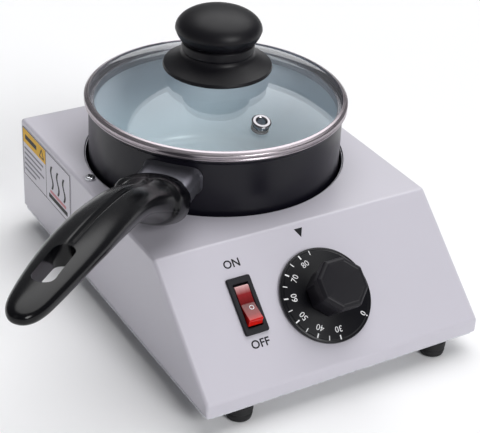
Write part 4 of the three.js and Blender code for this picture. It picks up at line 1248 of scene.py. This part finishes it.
# %% Knob skirt and cap
def spline(stops):
    made = []
    for i in range(len(stops) - 1):
        a, b = Vector(stops[max(i - 1, 0)]), Vector(stops[i])
        c, d = Vector(stops[i + 1]), Vector(stops[min(i + 2, len(stops) - 1)])
        for t in (k / 8 for k in range(8)):
            made.append(
                0.5 * (2 * b + (c - a) * t + (2 * a - 5 * b + 4 * c - d) * t**2
                       + (3 * b - a - 3 * c + d) * t**3)
            )
    return [tuple(p) for p in made] + [tuple(stops[-1])]


knob_low, knob_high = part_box("lid_knob_base")
base_z, collar_z = knob_low.z / MM, knob_high.z / MM
SKIRT_R = (knob_high.x - knob_low.x) / 2 / MM
COLLAR_R, KNOB_BORE, CAP_BORE = 21.6, 3.4, 2.6
flare = spline([
    (SKIRT_R - 0.7, base_z + 3.7), (SKIRT_R - 4.4, base_z + 5.6), (SKIRT_R - 8, base_z + 7.9),
    (COLLAR_R + 0.6, base_z + 10), (COLLAR_R - 0.3, base_z + 11.8),
])
knob_skirt = turned(
    "knob_skirt",
    [
        (KNOB_BORE, base_z), (12, base_z, 0.4), (14, base_z + 2.6), (SKIRT_R - 1, base_z + 1.2, 0.4),
        (SKIRT_R, base_z + 2, 0.8), *flare, (COLLAR_R, base_z + 13, 0.8),
        (COLLAR_R, collar_z - 0.9, 0.7), (COLLAR_R - 1, collar_z, 0.6), (KNOB_BORE, collar_z),
    ],
    knob_plastic,
)
settle(knob_skirt, knob_plastic, "lid", ["lid_knob_base"])
cap_low, cap_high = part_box("lid_knob")
cap_z, cap_top = cap_low.z / MM, cap_high.z / MM
CAP_R = (cap_high.x - cap_low.x) / 2 / MM
belly = cap_z + (cap_top - cap_z) * 0.36
turns = [k * math.pi / 60 for k in range(30)]
swell = [(CAP_R * math.cos(t) ** 0.9, belly + (cap_top - belly) * math.sin(t)) for t in turns]
underside = spline([
    (COLLAR_R - 0.6, cap_z), (COLLAR_R + 1.3, cap_z + 1.3), (CAP_R - 1.2, belly - 3), (CAP_R, belly),
])
cap = turned(
    "knob_cap",
    [(0, cap_z + 9), (CAP_BORE, cap_z + 9), (CAP_BORE, cap_z), *underside[:-1], *swell, (0, cap_top)],
    knob_plastic,
)
settle(cap, knob_plastic, "lid", ["lid_knob"])
for piece in (well, plate, pan_wall, lining, lid_glass, band, eyelet, vent_seal, knob_skirt, cap):
    piece.data.transform(PAN)
print("cap radius", round(CAP_R, 2), "mm")

# %% [markdown]
# ## Dial
# A low conical skirt carries the scale. The grip is an eight-sided stem with a wider head. Both
# turn together, so marks, figures and grip all ride on the dial.

# %% Dial skirt
skirt_low, skirt_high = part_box("dial_skirt")
DIAL_R = (skirt_high.x - skirt_low.x) / 2 / MM
HUB_R, HUB_Z, CONE_R, CONE_Z = 9, 5.6, DIAL_R - 2.2, 3.45
cone = math.atan2(2.5, DIAL_R - HUB_R)
dial_skirt = turned(
    "dial_skirt_disc",
    [
        (HUB_R, 4, 0.2), (DIAL_R - 1.8, 1.9), (DIAL_R - 1.8, 0.9, 0.2), (DIAL_R, 0.9, 0.3),
        (DIAL_R, 3.1, 0.6), (DIAL_R - 1.5, 3.35, 0.2), (DIAL_R - 1.9, 3.15, 0.15),
        (CONE_R, CONE_Z, 0.2), (HUB_R, HUB_Z, 0.3),
    ],
    dial_plastic, 192, 3,
)
settle(dial_skirt, dial_plastic, "dial", ["dial_skirt"], PANEL)


def skirt_height(r):
    return CONE_Z + (CONE_R - r) * ((HUB_Z - CONE_Z) / (CONE_R - HUB_R))


print("dial radius", round(DIAL_R, 2), "mm")

# %% [markdown]
# The grip is lofted from octagons: a narrow hub, the stem, a short flare, the head, and a shallow
# dish in its top. A blind bore from below takes the shaft.

# %% Dial grip
def octagon(radius, corner, height):
    section = []
    for k in range(8):
        turn = math.radians(22.5 + 45 * k)
        section.append((radius * math.cos(turn), radius * math.sin(turn), corner))
    return [(p.x, p.y, height) for p in rounded(section, 4)]


HEAD_R, STEM_R, DIAL_H = 15.5, 13.6, 26
SHAFT_BORE_R, BORE_DEPTH = 3.6, 20.5
dial_grip = loft(
    "dial_grip_head",
    [
        octagon(8.5, 0.8, 1.3), octagon(8.5, 0.8, 5.95), octagon(STEM_R - 0.3, 1.2, 5.95),
        octagon(STEM_R, 1.2, 6.3), octagon(STEM_R - 0.2, 1.2, 17.2), octagon(STEM_R, 1.2, 18),
        octagon(HEAD_R - 0.4, 1.2, 18.9), octagon(HEAD_R - 0.05, 1.2, 19.4), octagon(HEAD_R, 1.2, 20),
        octagon(HEAD_R, 1.2, 24.2), octagon(HEAD_R - 0.35, 1.1, 24.9), octagon(HEAD_R - 1.2, 1, 25.7),
        octagon(HEAD_R - 1.9, 0.9, DIAL_H - 0.02), octagon(HEAD_R - 2.6, 0.8, DIAL_H),
        octagon(HEAD_R - 3.4, 0.8, DIAL_H - 0.35), octagon(3, 0.5, DIAL_H - 0.5),
    ],
)
cut(edit(dial_grip, face_out), round_tool(SHAFT_BORE_R, 0, BORE_DEPTH, sides=48))
settle(dial_grip, grip_plastic, "dial", ["dial_grip"], PANEL, math.radians(24))
print("dial grip", 2 * HEAD_R, "mm across its corners")

# %% [markdown]
# ### Scale
# The strokes repeat every five degrees of temperature, so a tree sets a bar on each point of an
# arc and widens every second one.

# %% Strokes
STROKES, STROKE_R, STROKE_L, STROKE_W = 12, 25.2, 2.6, 0.62
STEP = math.radians(15.9)
FIRST = math.radians(-1.8)


def stroke_tree():
    inputs = [("Count", "Int"), ("Radius", "Float"), ("Length", "Float"), ("Width", "Float")]
    graph = new_tree("dial_strokes", inputs)
    points = graph.node("GeometryNodePoints", None, {"Count": given(graph, "Count")})
    index = graph.node("GeometryNodeInputIndex")
    turn = index * STEP - FIRST
    radius = given(graph, "Radius")
    height = skirt_height(STROKE_R) * MM
    place = graph.join(turn.math("SINE") * radius * -1.0, turn.math("COSINE") * radius, height)
    put = graph.node("GeometryNodeSetPosition", None, {"Geometry": points, "Position": place})
    size = graph.join(given(graph, "Width"), given(graph, "Length"), 0.1 * MM)
    bar = graph.node("GeometryNodeMeshCube", None, {"Size": size})
    odd = index.math("MODULO", 2.0)
    scale = graph.join(0.75 + odd * 0.5, 1.0, 1.0)
    angles = graph.join(-cone * 0.85, 0.0, turn)
    lean = graph.node("FunctionNodeEulerToRotation", None, {0: angles})
    sockets = {"Points": put, "Instance": bar, "Rotation": lean, "Scale": scale}
    close_tree(graph, graph.node("GeometryNodeInstanceOnPoints", None, sockets))
    return graph


strokes = grown("dial_strokes", bpy.data.meshes.new("dial_strokes"), stroke_tree(), Count=STROKES,
                Radius=STROKE_R * MM, Length=STROKE_L * MM, Width=STROKE_W * MM, Finish=white_ink)
settle(strokes, white_ink, "dial", place=PANEL)
print("strokes:", STROKES, "at", round(math.degrees(STEP), 1), "degrees")

# %% [markdown]
# The figures are text, turned to mesh and laid on the cone of the skirt. Each stands upright along
# its own radius, just inside a wide stroke. The off mark is a nought with a dot above it.

# %% Figures
FIGURE_SIZE, FIGURE_R, ZERO_R, DOT_R = 4.9, 20.4, 23.4, 0.45
INK = 0.04
ZERO_TURN = math.radians(-133)


def lettering(name, words, size, material, place, body, rise=0.05, bold=0.0):
    curve = bpy.data.curves.new(name, "FONT")
    curve.body = words
    curve.size = size * MM
    curve.align_x = "CENTER"
    curve.align_y = "CENTER"
    curve.extrude = rise / 2 * MM
    curve.offset = bold * MM
    curve.resolution_u = 3
    source = linked(name + "_source", curve)
    mesh = final_mesh(source)
    bpy.data.objects.remove(source)
    return settle(linked(name, mesh), material, body, place=place)


def dial_figure(figure, turn, radius):
    place = (
        PANEL @ Matrix.Rotation(turn, 4, "Z")
        @ Matrix.Translation(Vector((0, radius, skirt_height(radius) + INK)) * MM)
        @ Matrix.Rotation(-cone, 4, "X")
    )
    lettering("figure_" + figure, figure, FIGURE_SIZE, white_ink, place, "dial")
    return place


for k, figure in enumerate(("80", "70", "60", "50", "40", "30")):
    dial_figure(figure, STEP * (1 + 2 * k) - FIRST, FIGURE_R)
zero = dial_figure("0", ZERO_TURN, ZERO_R)
dot = turned("figure_0_dot", [(0, 0), (DOT_R, 0), (DOT_R, 0.1), (0, 0.1)], white_ink, 24)
dot_place = zero @ Matrix.Translation(Vector((0, 2.9, 0)) * MM)
settle(dot, white_ink, "dial", place=dot_place)
print("figures: 7")

# %% [markdown]
# ## Panel printing
# Plain words and a pointer are screen-printed on the paint: a skin of ink a few hundredths of a
# millimetre thick.

# %% Words and pointer
WORD_SIZE, WORD_BOLD = 6.6, 0.13
WORDS = (("word_on", "ON", -46.9, 31.7), ("word_off", "OFF", -47.3, -14.8))
POINTER = ((0, 35.9), (2.75, 41.3), (-2.75, 41.3))


def flat_shape(name, outline, material, place, rise):
    rings = [[(p.x, p.y, z) for p in outline] for z in (0.005, rise)]
    return settle(loft(name, rings), material, "base", place=place)


for name, words, x, y in WORDS:
    place = PANEL @ Matrix.Translation(Vector((x, y, INK / 2)) * MM)
    lettering(name, words, WORD_SIZE, black_ink, place, "base", INK, WORD_BOLD)
flat_shape("pointer", [Vector(p) for p in POINTER], black_ink, PANEL, INK)
print("panel printed:", len(WORDS), "words and a pointer")

# %% [markdown]
# ## Rocker switch
# The bezel is a moulded frame whose inner edge drops to a dark well, with a tub behind the panel.
# It is lofted from rounded rectangles of three sizes, which one helper draws.

# %% Bezel
TUB, LIP, WINDOW = (12.5, 28.2), (14.9, 33), (9.3, 25.2)
FACE, SEAT = 1.8, 0.32


def ring_of(width, length):
    def ring(grow, radius, height):
        return [(p.x, p.y, height) for p in rectangle(width + grow, length + grow, radius, 4)]

    return ring


tub, lip, opening = ring_of(*TUB), ring_of(*LIP), ring_of(*WINDOW)
bezel = loft(
    "switch_bezel",
    [
        tub(-0.2, 0.5, -16.8), tub(0, 0.5, -16.4), tub(0, 0.5, SEAT),
        lip(0, 1.2, SEAT), lip(0, 1.2, FACE - 0.7), lip(-0.3, 1.1, FACE - 0.25), lip(-0.9, 0.9, FACE),
        opening(0.7, 0.6, FACE), opening(0.2, 0.4, FACE - 0.2), opening(0, 0.3, FACE - 0.6),
        opening(0, 0.3, -10.5),
    ],
)
settle(bezel, nylon, "base", ["switch_housing"], SWITCH)
print("bezel", LIP[0], "x", LIP[1], "mm")

# %% [markdown]
# The rocker is a solid of red plastic with two faces that meet in a shallow valley, tipped to the
# off side. Its side outline is lofted across, as the casing's was. A printed ring marks OFF.

# %% Rocker
TIPPED = math.radians(-9)
RING_IN, RING_OUT, RING_T = 1.05, 1.42, 0.14
FACE_SLOPE = math.radians(-11.7)
end = ROCKER_LENGTH / 2
ROCKER = (SWITCH @ Matrix.Translation(Vector((0, 0, rocker_pivot.z)))
          @ Matrix.Rotation(TIPPED, 4, "X"))
rocker_outline = [
    (-end, 0.4, 0.4), (-10, -2.6, 1), (-3, -5.2, 1), (3, -5.2, 1), (10, -2.6, 1), (end, 0.4, 0.4),
    (10.6, 4.55, 1), (0, 2.35, 9), (-10.6, 4.55, 1),
]
rocker = across("rocker_lens", rounded(rocker_outline, 8), 8.7, 0, 0.45, 3)
settle(rocker, lens, "rocker", ["switch_rocker"], ROCKER)
off_ring = turned(
    "off_ring", [(RING_IN, 0), (RING_OUT, 0), (RING_OUT, RING_T), (RING_IN, RING_T)], white_ink, 48
)
ring_place = (ROCKER @ Matrix.Translation(Vector((1, -2.6, 2.91)) * MM)
              @ Matrix.Rotation(FACE_SLOPE, 4, "X"))
settle(off_ring, white_ink, "rocker", place=ring_place)
print("rocker tipped", round(math.degrees(-TIPPED)), "degrees")

# %% [markdown]
# ## Side label
# The film on the side carries a plain caution block with no words: a yellow header with an empty
# triangle, grey bars where instructions would be, and a hot-surface sign.

# %% Label film
label_low, label_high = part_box("side_label")
LABEL = basis(Vector((0, -1, 0)), UP, Vector((-1, 0, 0)),
              Vector((label_high.x, label_high.y, label_low.z)))
LABEL_L = (label_high.y - label_low.y) / MM
LABEL_H = (label_high.z - label_low.z) / MM
FILM = (label_high.x - label_low.x) / MM - 0.08
half = LABEL_L / 2


def patch(width, length, radius, x, y):
    return [Vector((p.x + x, p.y + y)) for p in rectangle(width, length, radius)]


sheet = patch(LABEL_L, LABEL_H, 1.2, half, LABEL_H / 2)
film = loft("label_film_sheet", [[(p.x, p.y, z) for p in sheet] for z in (0, FILM)])
settle(film, label_film, "base", ["side_label"], LABEL)
print("label", round(LABEL_L, 1), "x", round(LABEL_H, 1), "mm")

# %% [markdown]
# Each sign is a flat outline. Where one ink lies on another, a level lifts it by the thickness of
# a print, so the two never share a plane.

# %% Signs on the label
PRINT = 0.03
LINE = 0.5
FRAME_LINES = (
    ("top", half, LABEL_H - LINE, LABEL_L - 1, LINE), ("foot", half, LINE, LABEL_L - 1, LINE),
    ("left", LINE, LABEL_H / 2, LINE, LABEL_H - 1),
    ("right", LABEL_L - LINE, LABEL_H / 2, LINE, LABEL_H - 1),
    ("mid", half, LABEL_H / 2, LINE, LABEL_H - 1),
)
BAR_WIDTHS = (30, 27, 31, 24, 18)


def on_label(name, outline, material, level=1):
    place = LABEL @ Matrix.Translation(Vector((0, 0, FILM + PRINT / 2 * (level - 1))) * MM)
    flat_shape("label_" + name, outline, material, place, PRINT)


def upright_triangle(middle, half_width, foot, top, radius):
    corners = [(middle - half_width, foot, radius), (middle + half_width, foot, radius),
               (middle, top, radius)]
    return rounded(corners, 3)


def heat_wave(x, low, high, thick):
    count = 24
    left, right_side = [], []
    for k in range(count + 1):
        y = low + (high - low) * k / count
        bend = 1.5 * math.sin(2 * math.pi * k / count)
        left.append(Vector((x + bend - thick / 2, y)))
        right_side.append(Vector((x + bend + thick / 2, y)))
    return left[::-1] + right_side


for name, x, y, wide, tall in FRAME_LINES:
    on_label("line_" + name, patch(wide, tall, 0, x, y), black_ink)
on_label("header", patch(half - 1.2, 10, 0.2, half / 2 + 0.2, LABEL_H - 6), yellow_ink)
on_label("triangle", upright_triangle(30, 4, LABEL_H - 9.5, LABEL_H - 2.4, 0.6), black_ink, 2)
on_label("triangle_gap", upright_triangle(30, 2.4, LABEL_H - 8.6, LABEL_H - 4.3, 0.3), yellow_ink, 3)
on_label("header_bar", patch(18, 3.2, 0.3, 13, LABEL_H - 6.2), black_ink, 2)
for row, long in enumerate(BAR_WIDTHS):
    bar = patch(long, 1.5, 0.2, 2.2 + long / 2, LABEL_H - 14.6 - row * 3.7)
    on_label("bar_%d" % row, bar, grey_ink)
for k in range(3):
    on_label("heat_%d" % k, heat_wave(half + 9 + 9 * k, 11, 27, 2.2), black_ink)
on_label("glow", patch(24, 2.2, 1, half + 18, 8.6), pink_ink)
on_label("plate", patch(28, 3, 0.6, half + 18, 5), black_ink)
print("signs:", len(FRAME_LINES) + len(BAR_WIDTHS) + 9)

# %% [markdown]
# ## Cable gland
# The gland is where the cable enters, at the rear. Its cap nut has a ring of ribs for the fingers:
# a tree sets a rib on each point of a circle and turns it to face outwards.

# %% Ribbed cap nut
GLAND_R, MOUTH_R, RIBS = 7.8, 3.95, 18
barrel, thread = GLAND_R + 1.6, GLAND_R - 0.25
cap_nut = turned(
    "gland_cap",
    [
        (thread, 5.2), (barrel, 5.2, 0.4), (barrel, 12.6, 1.2),
        (6.2, 17.6, 1.4), (MOUTH_R, 17.6, 0.3), (MOUTH_R, 16.4), (thread, 15.4),
    ],
    nylon, 96,
)


def rib_tree():
    graph = new_tree("ribs_round_axis", [("Count", "Int"), ("Radius", "Float"), ("Rib", "Object")])
    sockets = {"Resolution": given(graph, "Count"), "Radius": given(graph, "Radius")}
    circle = graph.node("GeometryNodeCurvePrimitiveCircle", None, sockets)
    x, y, _ = graph.split(graph.node("GeometryNodeInputPosition"))
    angles = graph.join(0.0, 0.0, y.math("ARCTAN2", x))
    turn = graph.node("FunctionNodeEulerToRotation", None, {0: angles})
    rib = graph.node("GeometryNodeObjectInfo", None, {"Object": given(graph, "Rib")}, "Geometry")
    sockets = {"Points": circle, "Instance": rib, "Rotation": turn}
    close_tree(graph, graph.node("GeometryNodeInstanceOnPoints", None, sockets))
    return graph


rib_outline = rectangle(1.4, 1.1, 0.4, 3)
rib_item = loft("rib_item", [
    [(p.x * grow, p.y * grow, z) for p in rib_outline]
    for z, grow in ((5.4, 0.7), (5.8, 1.0), (11.6, 1.0), (12.2, 0.6))
])
ribs = grown("gland_ribs", bpy.data.meshes.new("gland_ribs"), rib_tree(), Count=RIBS,
             Radius=barrel * MM, Rib=rib_item, Finish=nylon)
bpy.data.objects.remove(rib_item)
settle(cap_nut, nylon, "base", ["gland_dome_nut"], REAR)
settle(ribs, nylon, "base", place=REAR)
print("gland cap with", RIBS, "ribs")

# %% [markdown]
# ## Solids that stay
# Fasteners, wiring, heater and insulation already have their right shape, so the loaded solids
# are kept and only get a finish.

# %% Finishes of the kept solids
kept = {
    zinc: ["base_plate", "heater_clamp", "heater_clamp_nut", "earth_nut", "thermostat_screw_left",
           "thermostat_screw_right", "handle_screw", "thermostat_shaft"],
    chrome: ["sensor_bulb_clip", "dial_spring_collar", "lid_knob_screw", "heater_element"],
    fibre: ["insulation_pad", "insulation_band"],
    copper: ["sensor_bulb", "capillary_tube"],
    brass: ["switch_terminal_upper", "switch_terminal_lower", "earth_stud"],
    phenolic: ["thermostat_body"],
    nylon: ["gland_body", "gland_lock_nut"],
    rubber: ["gland_seal"],
    white_nylon: ["terminal_block"],
    silicone: ["lid_knob_washer"],
    brown_wire: ["wire_live", "wire_switched", "wire_heater_feed"],
    blue_wire: ["wire_neutral"],
    earth_wire: ["wire_earth"],
}
for material, names in kept.items():
    for name in names:
        slots = frame["nodes"][name].data.materials
        slots.clear()
        slots.append(material)
shown = {name for names in kept.values() for name in names}
hidden = {name for name, node in frame["nodes"].items() if node.hide_render}
print("kept", len(shown), "replaced", len(hidden), "left over", set(frame["nodes"]) - shown - hidden)

# %% [markdown]
# ## Studio
# The object stands on a wide plain floor under a dim, even sky.

# %% Floor and sky
FLOOR, FLOOR_GAP = 9, 0.5 * MM
SKY_COLOUR, SKY_STRENGTH = (0.96, 0.97, 1.0, 1), 0.2
floor_mesh = bpy.data.meshes.new("floor")
floor_corners = [(-FLOOR, -FLOOR, 0), (FLOOR, -FLOOR, 0), (FLOOR, FLOOR, 0), (-FLOOR, FLOOR, 0)]
floor_mesh.from_pydata(floor_corners, [], [(0, 1, 2, 3)])
floor = linked("floor", floor_mesh)
floor.location.z = -FLOOR_GAP
floor_paint = finish("studio_floor", (0.93, 0.93, 0.94), 0.7, drift=0.004, drift_scale=2, lift=0.0)
floor_mesh.materials.append(floor_paint)

world = bpy.data.worlds.new("studio")
world.use_nodes = True
sky = world.node_tree.nodes["Background"].inputs
sky["Color"].default_value = SKY_COLOUR
sky["Strength"].default_value = SKY_STRENGTH
bpy.context.scene.world = world
print("floor", 2 * FLOOR, "m wide")

# %% [markdown]
# Two wide windows give the light: a lower one in front, which makes the panel bright, and a very
# wide one high behind the right, whose soft shadow falls to the front left. Each is a sun lamp
# with a large angle, given by the direction it shines from. A weak tall strip at the left adds a
# thin reflection to the dark mouldings.

# %% Windows and strip
def aimed(name, lamp, place, towards):
    holder = bpy.data.objects.new(name, lamp)
    holder.location = place
    holder.rotation_mode = "QUATERNION"
    holder.rotation_quaternion = Vector(towards).to_track_quat("-Z", "Y")
    bpy.context.scene.collection.objects.link(holder)


def window(name, strength, angle, source):
    lamp = bpy.data.lights.new(name, "SUN")
    lamp.energy = strength
    lamp.angle = math.radians(angle)
    aimed(name, lamp, (0, 0, 1), Vector(source) * -1)


def soft_box(name, place, size, power):
    lamp = bpy.data.lights.new(name, "AREA")
    lamp.shape = "RECTANGLE"
    lamp.size, lamp.size_y = size
    lamp.energy = power
    aimed(name, lamp, bench_mid + Vector(place), Vector((0, 0, 0.06)) - Vector(place))


window("front_window", 1.45, 22, (0.1, -0.84, 0.52))
window("high_window", 2.25, 66, (0.34, 0.3, 0.88))
soft_box("left_strip", (-1.2, -0.35, 0.7), (0.1, 0.9), 0.2)
bpy.context.scene.view_settings.view_transform = "Standard"
print("lights:", len(bpy.data.lights))
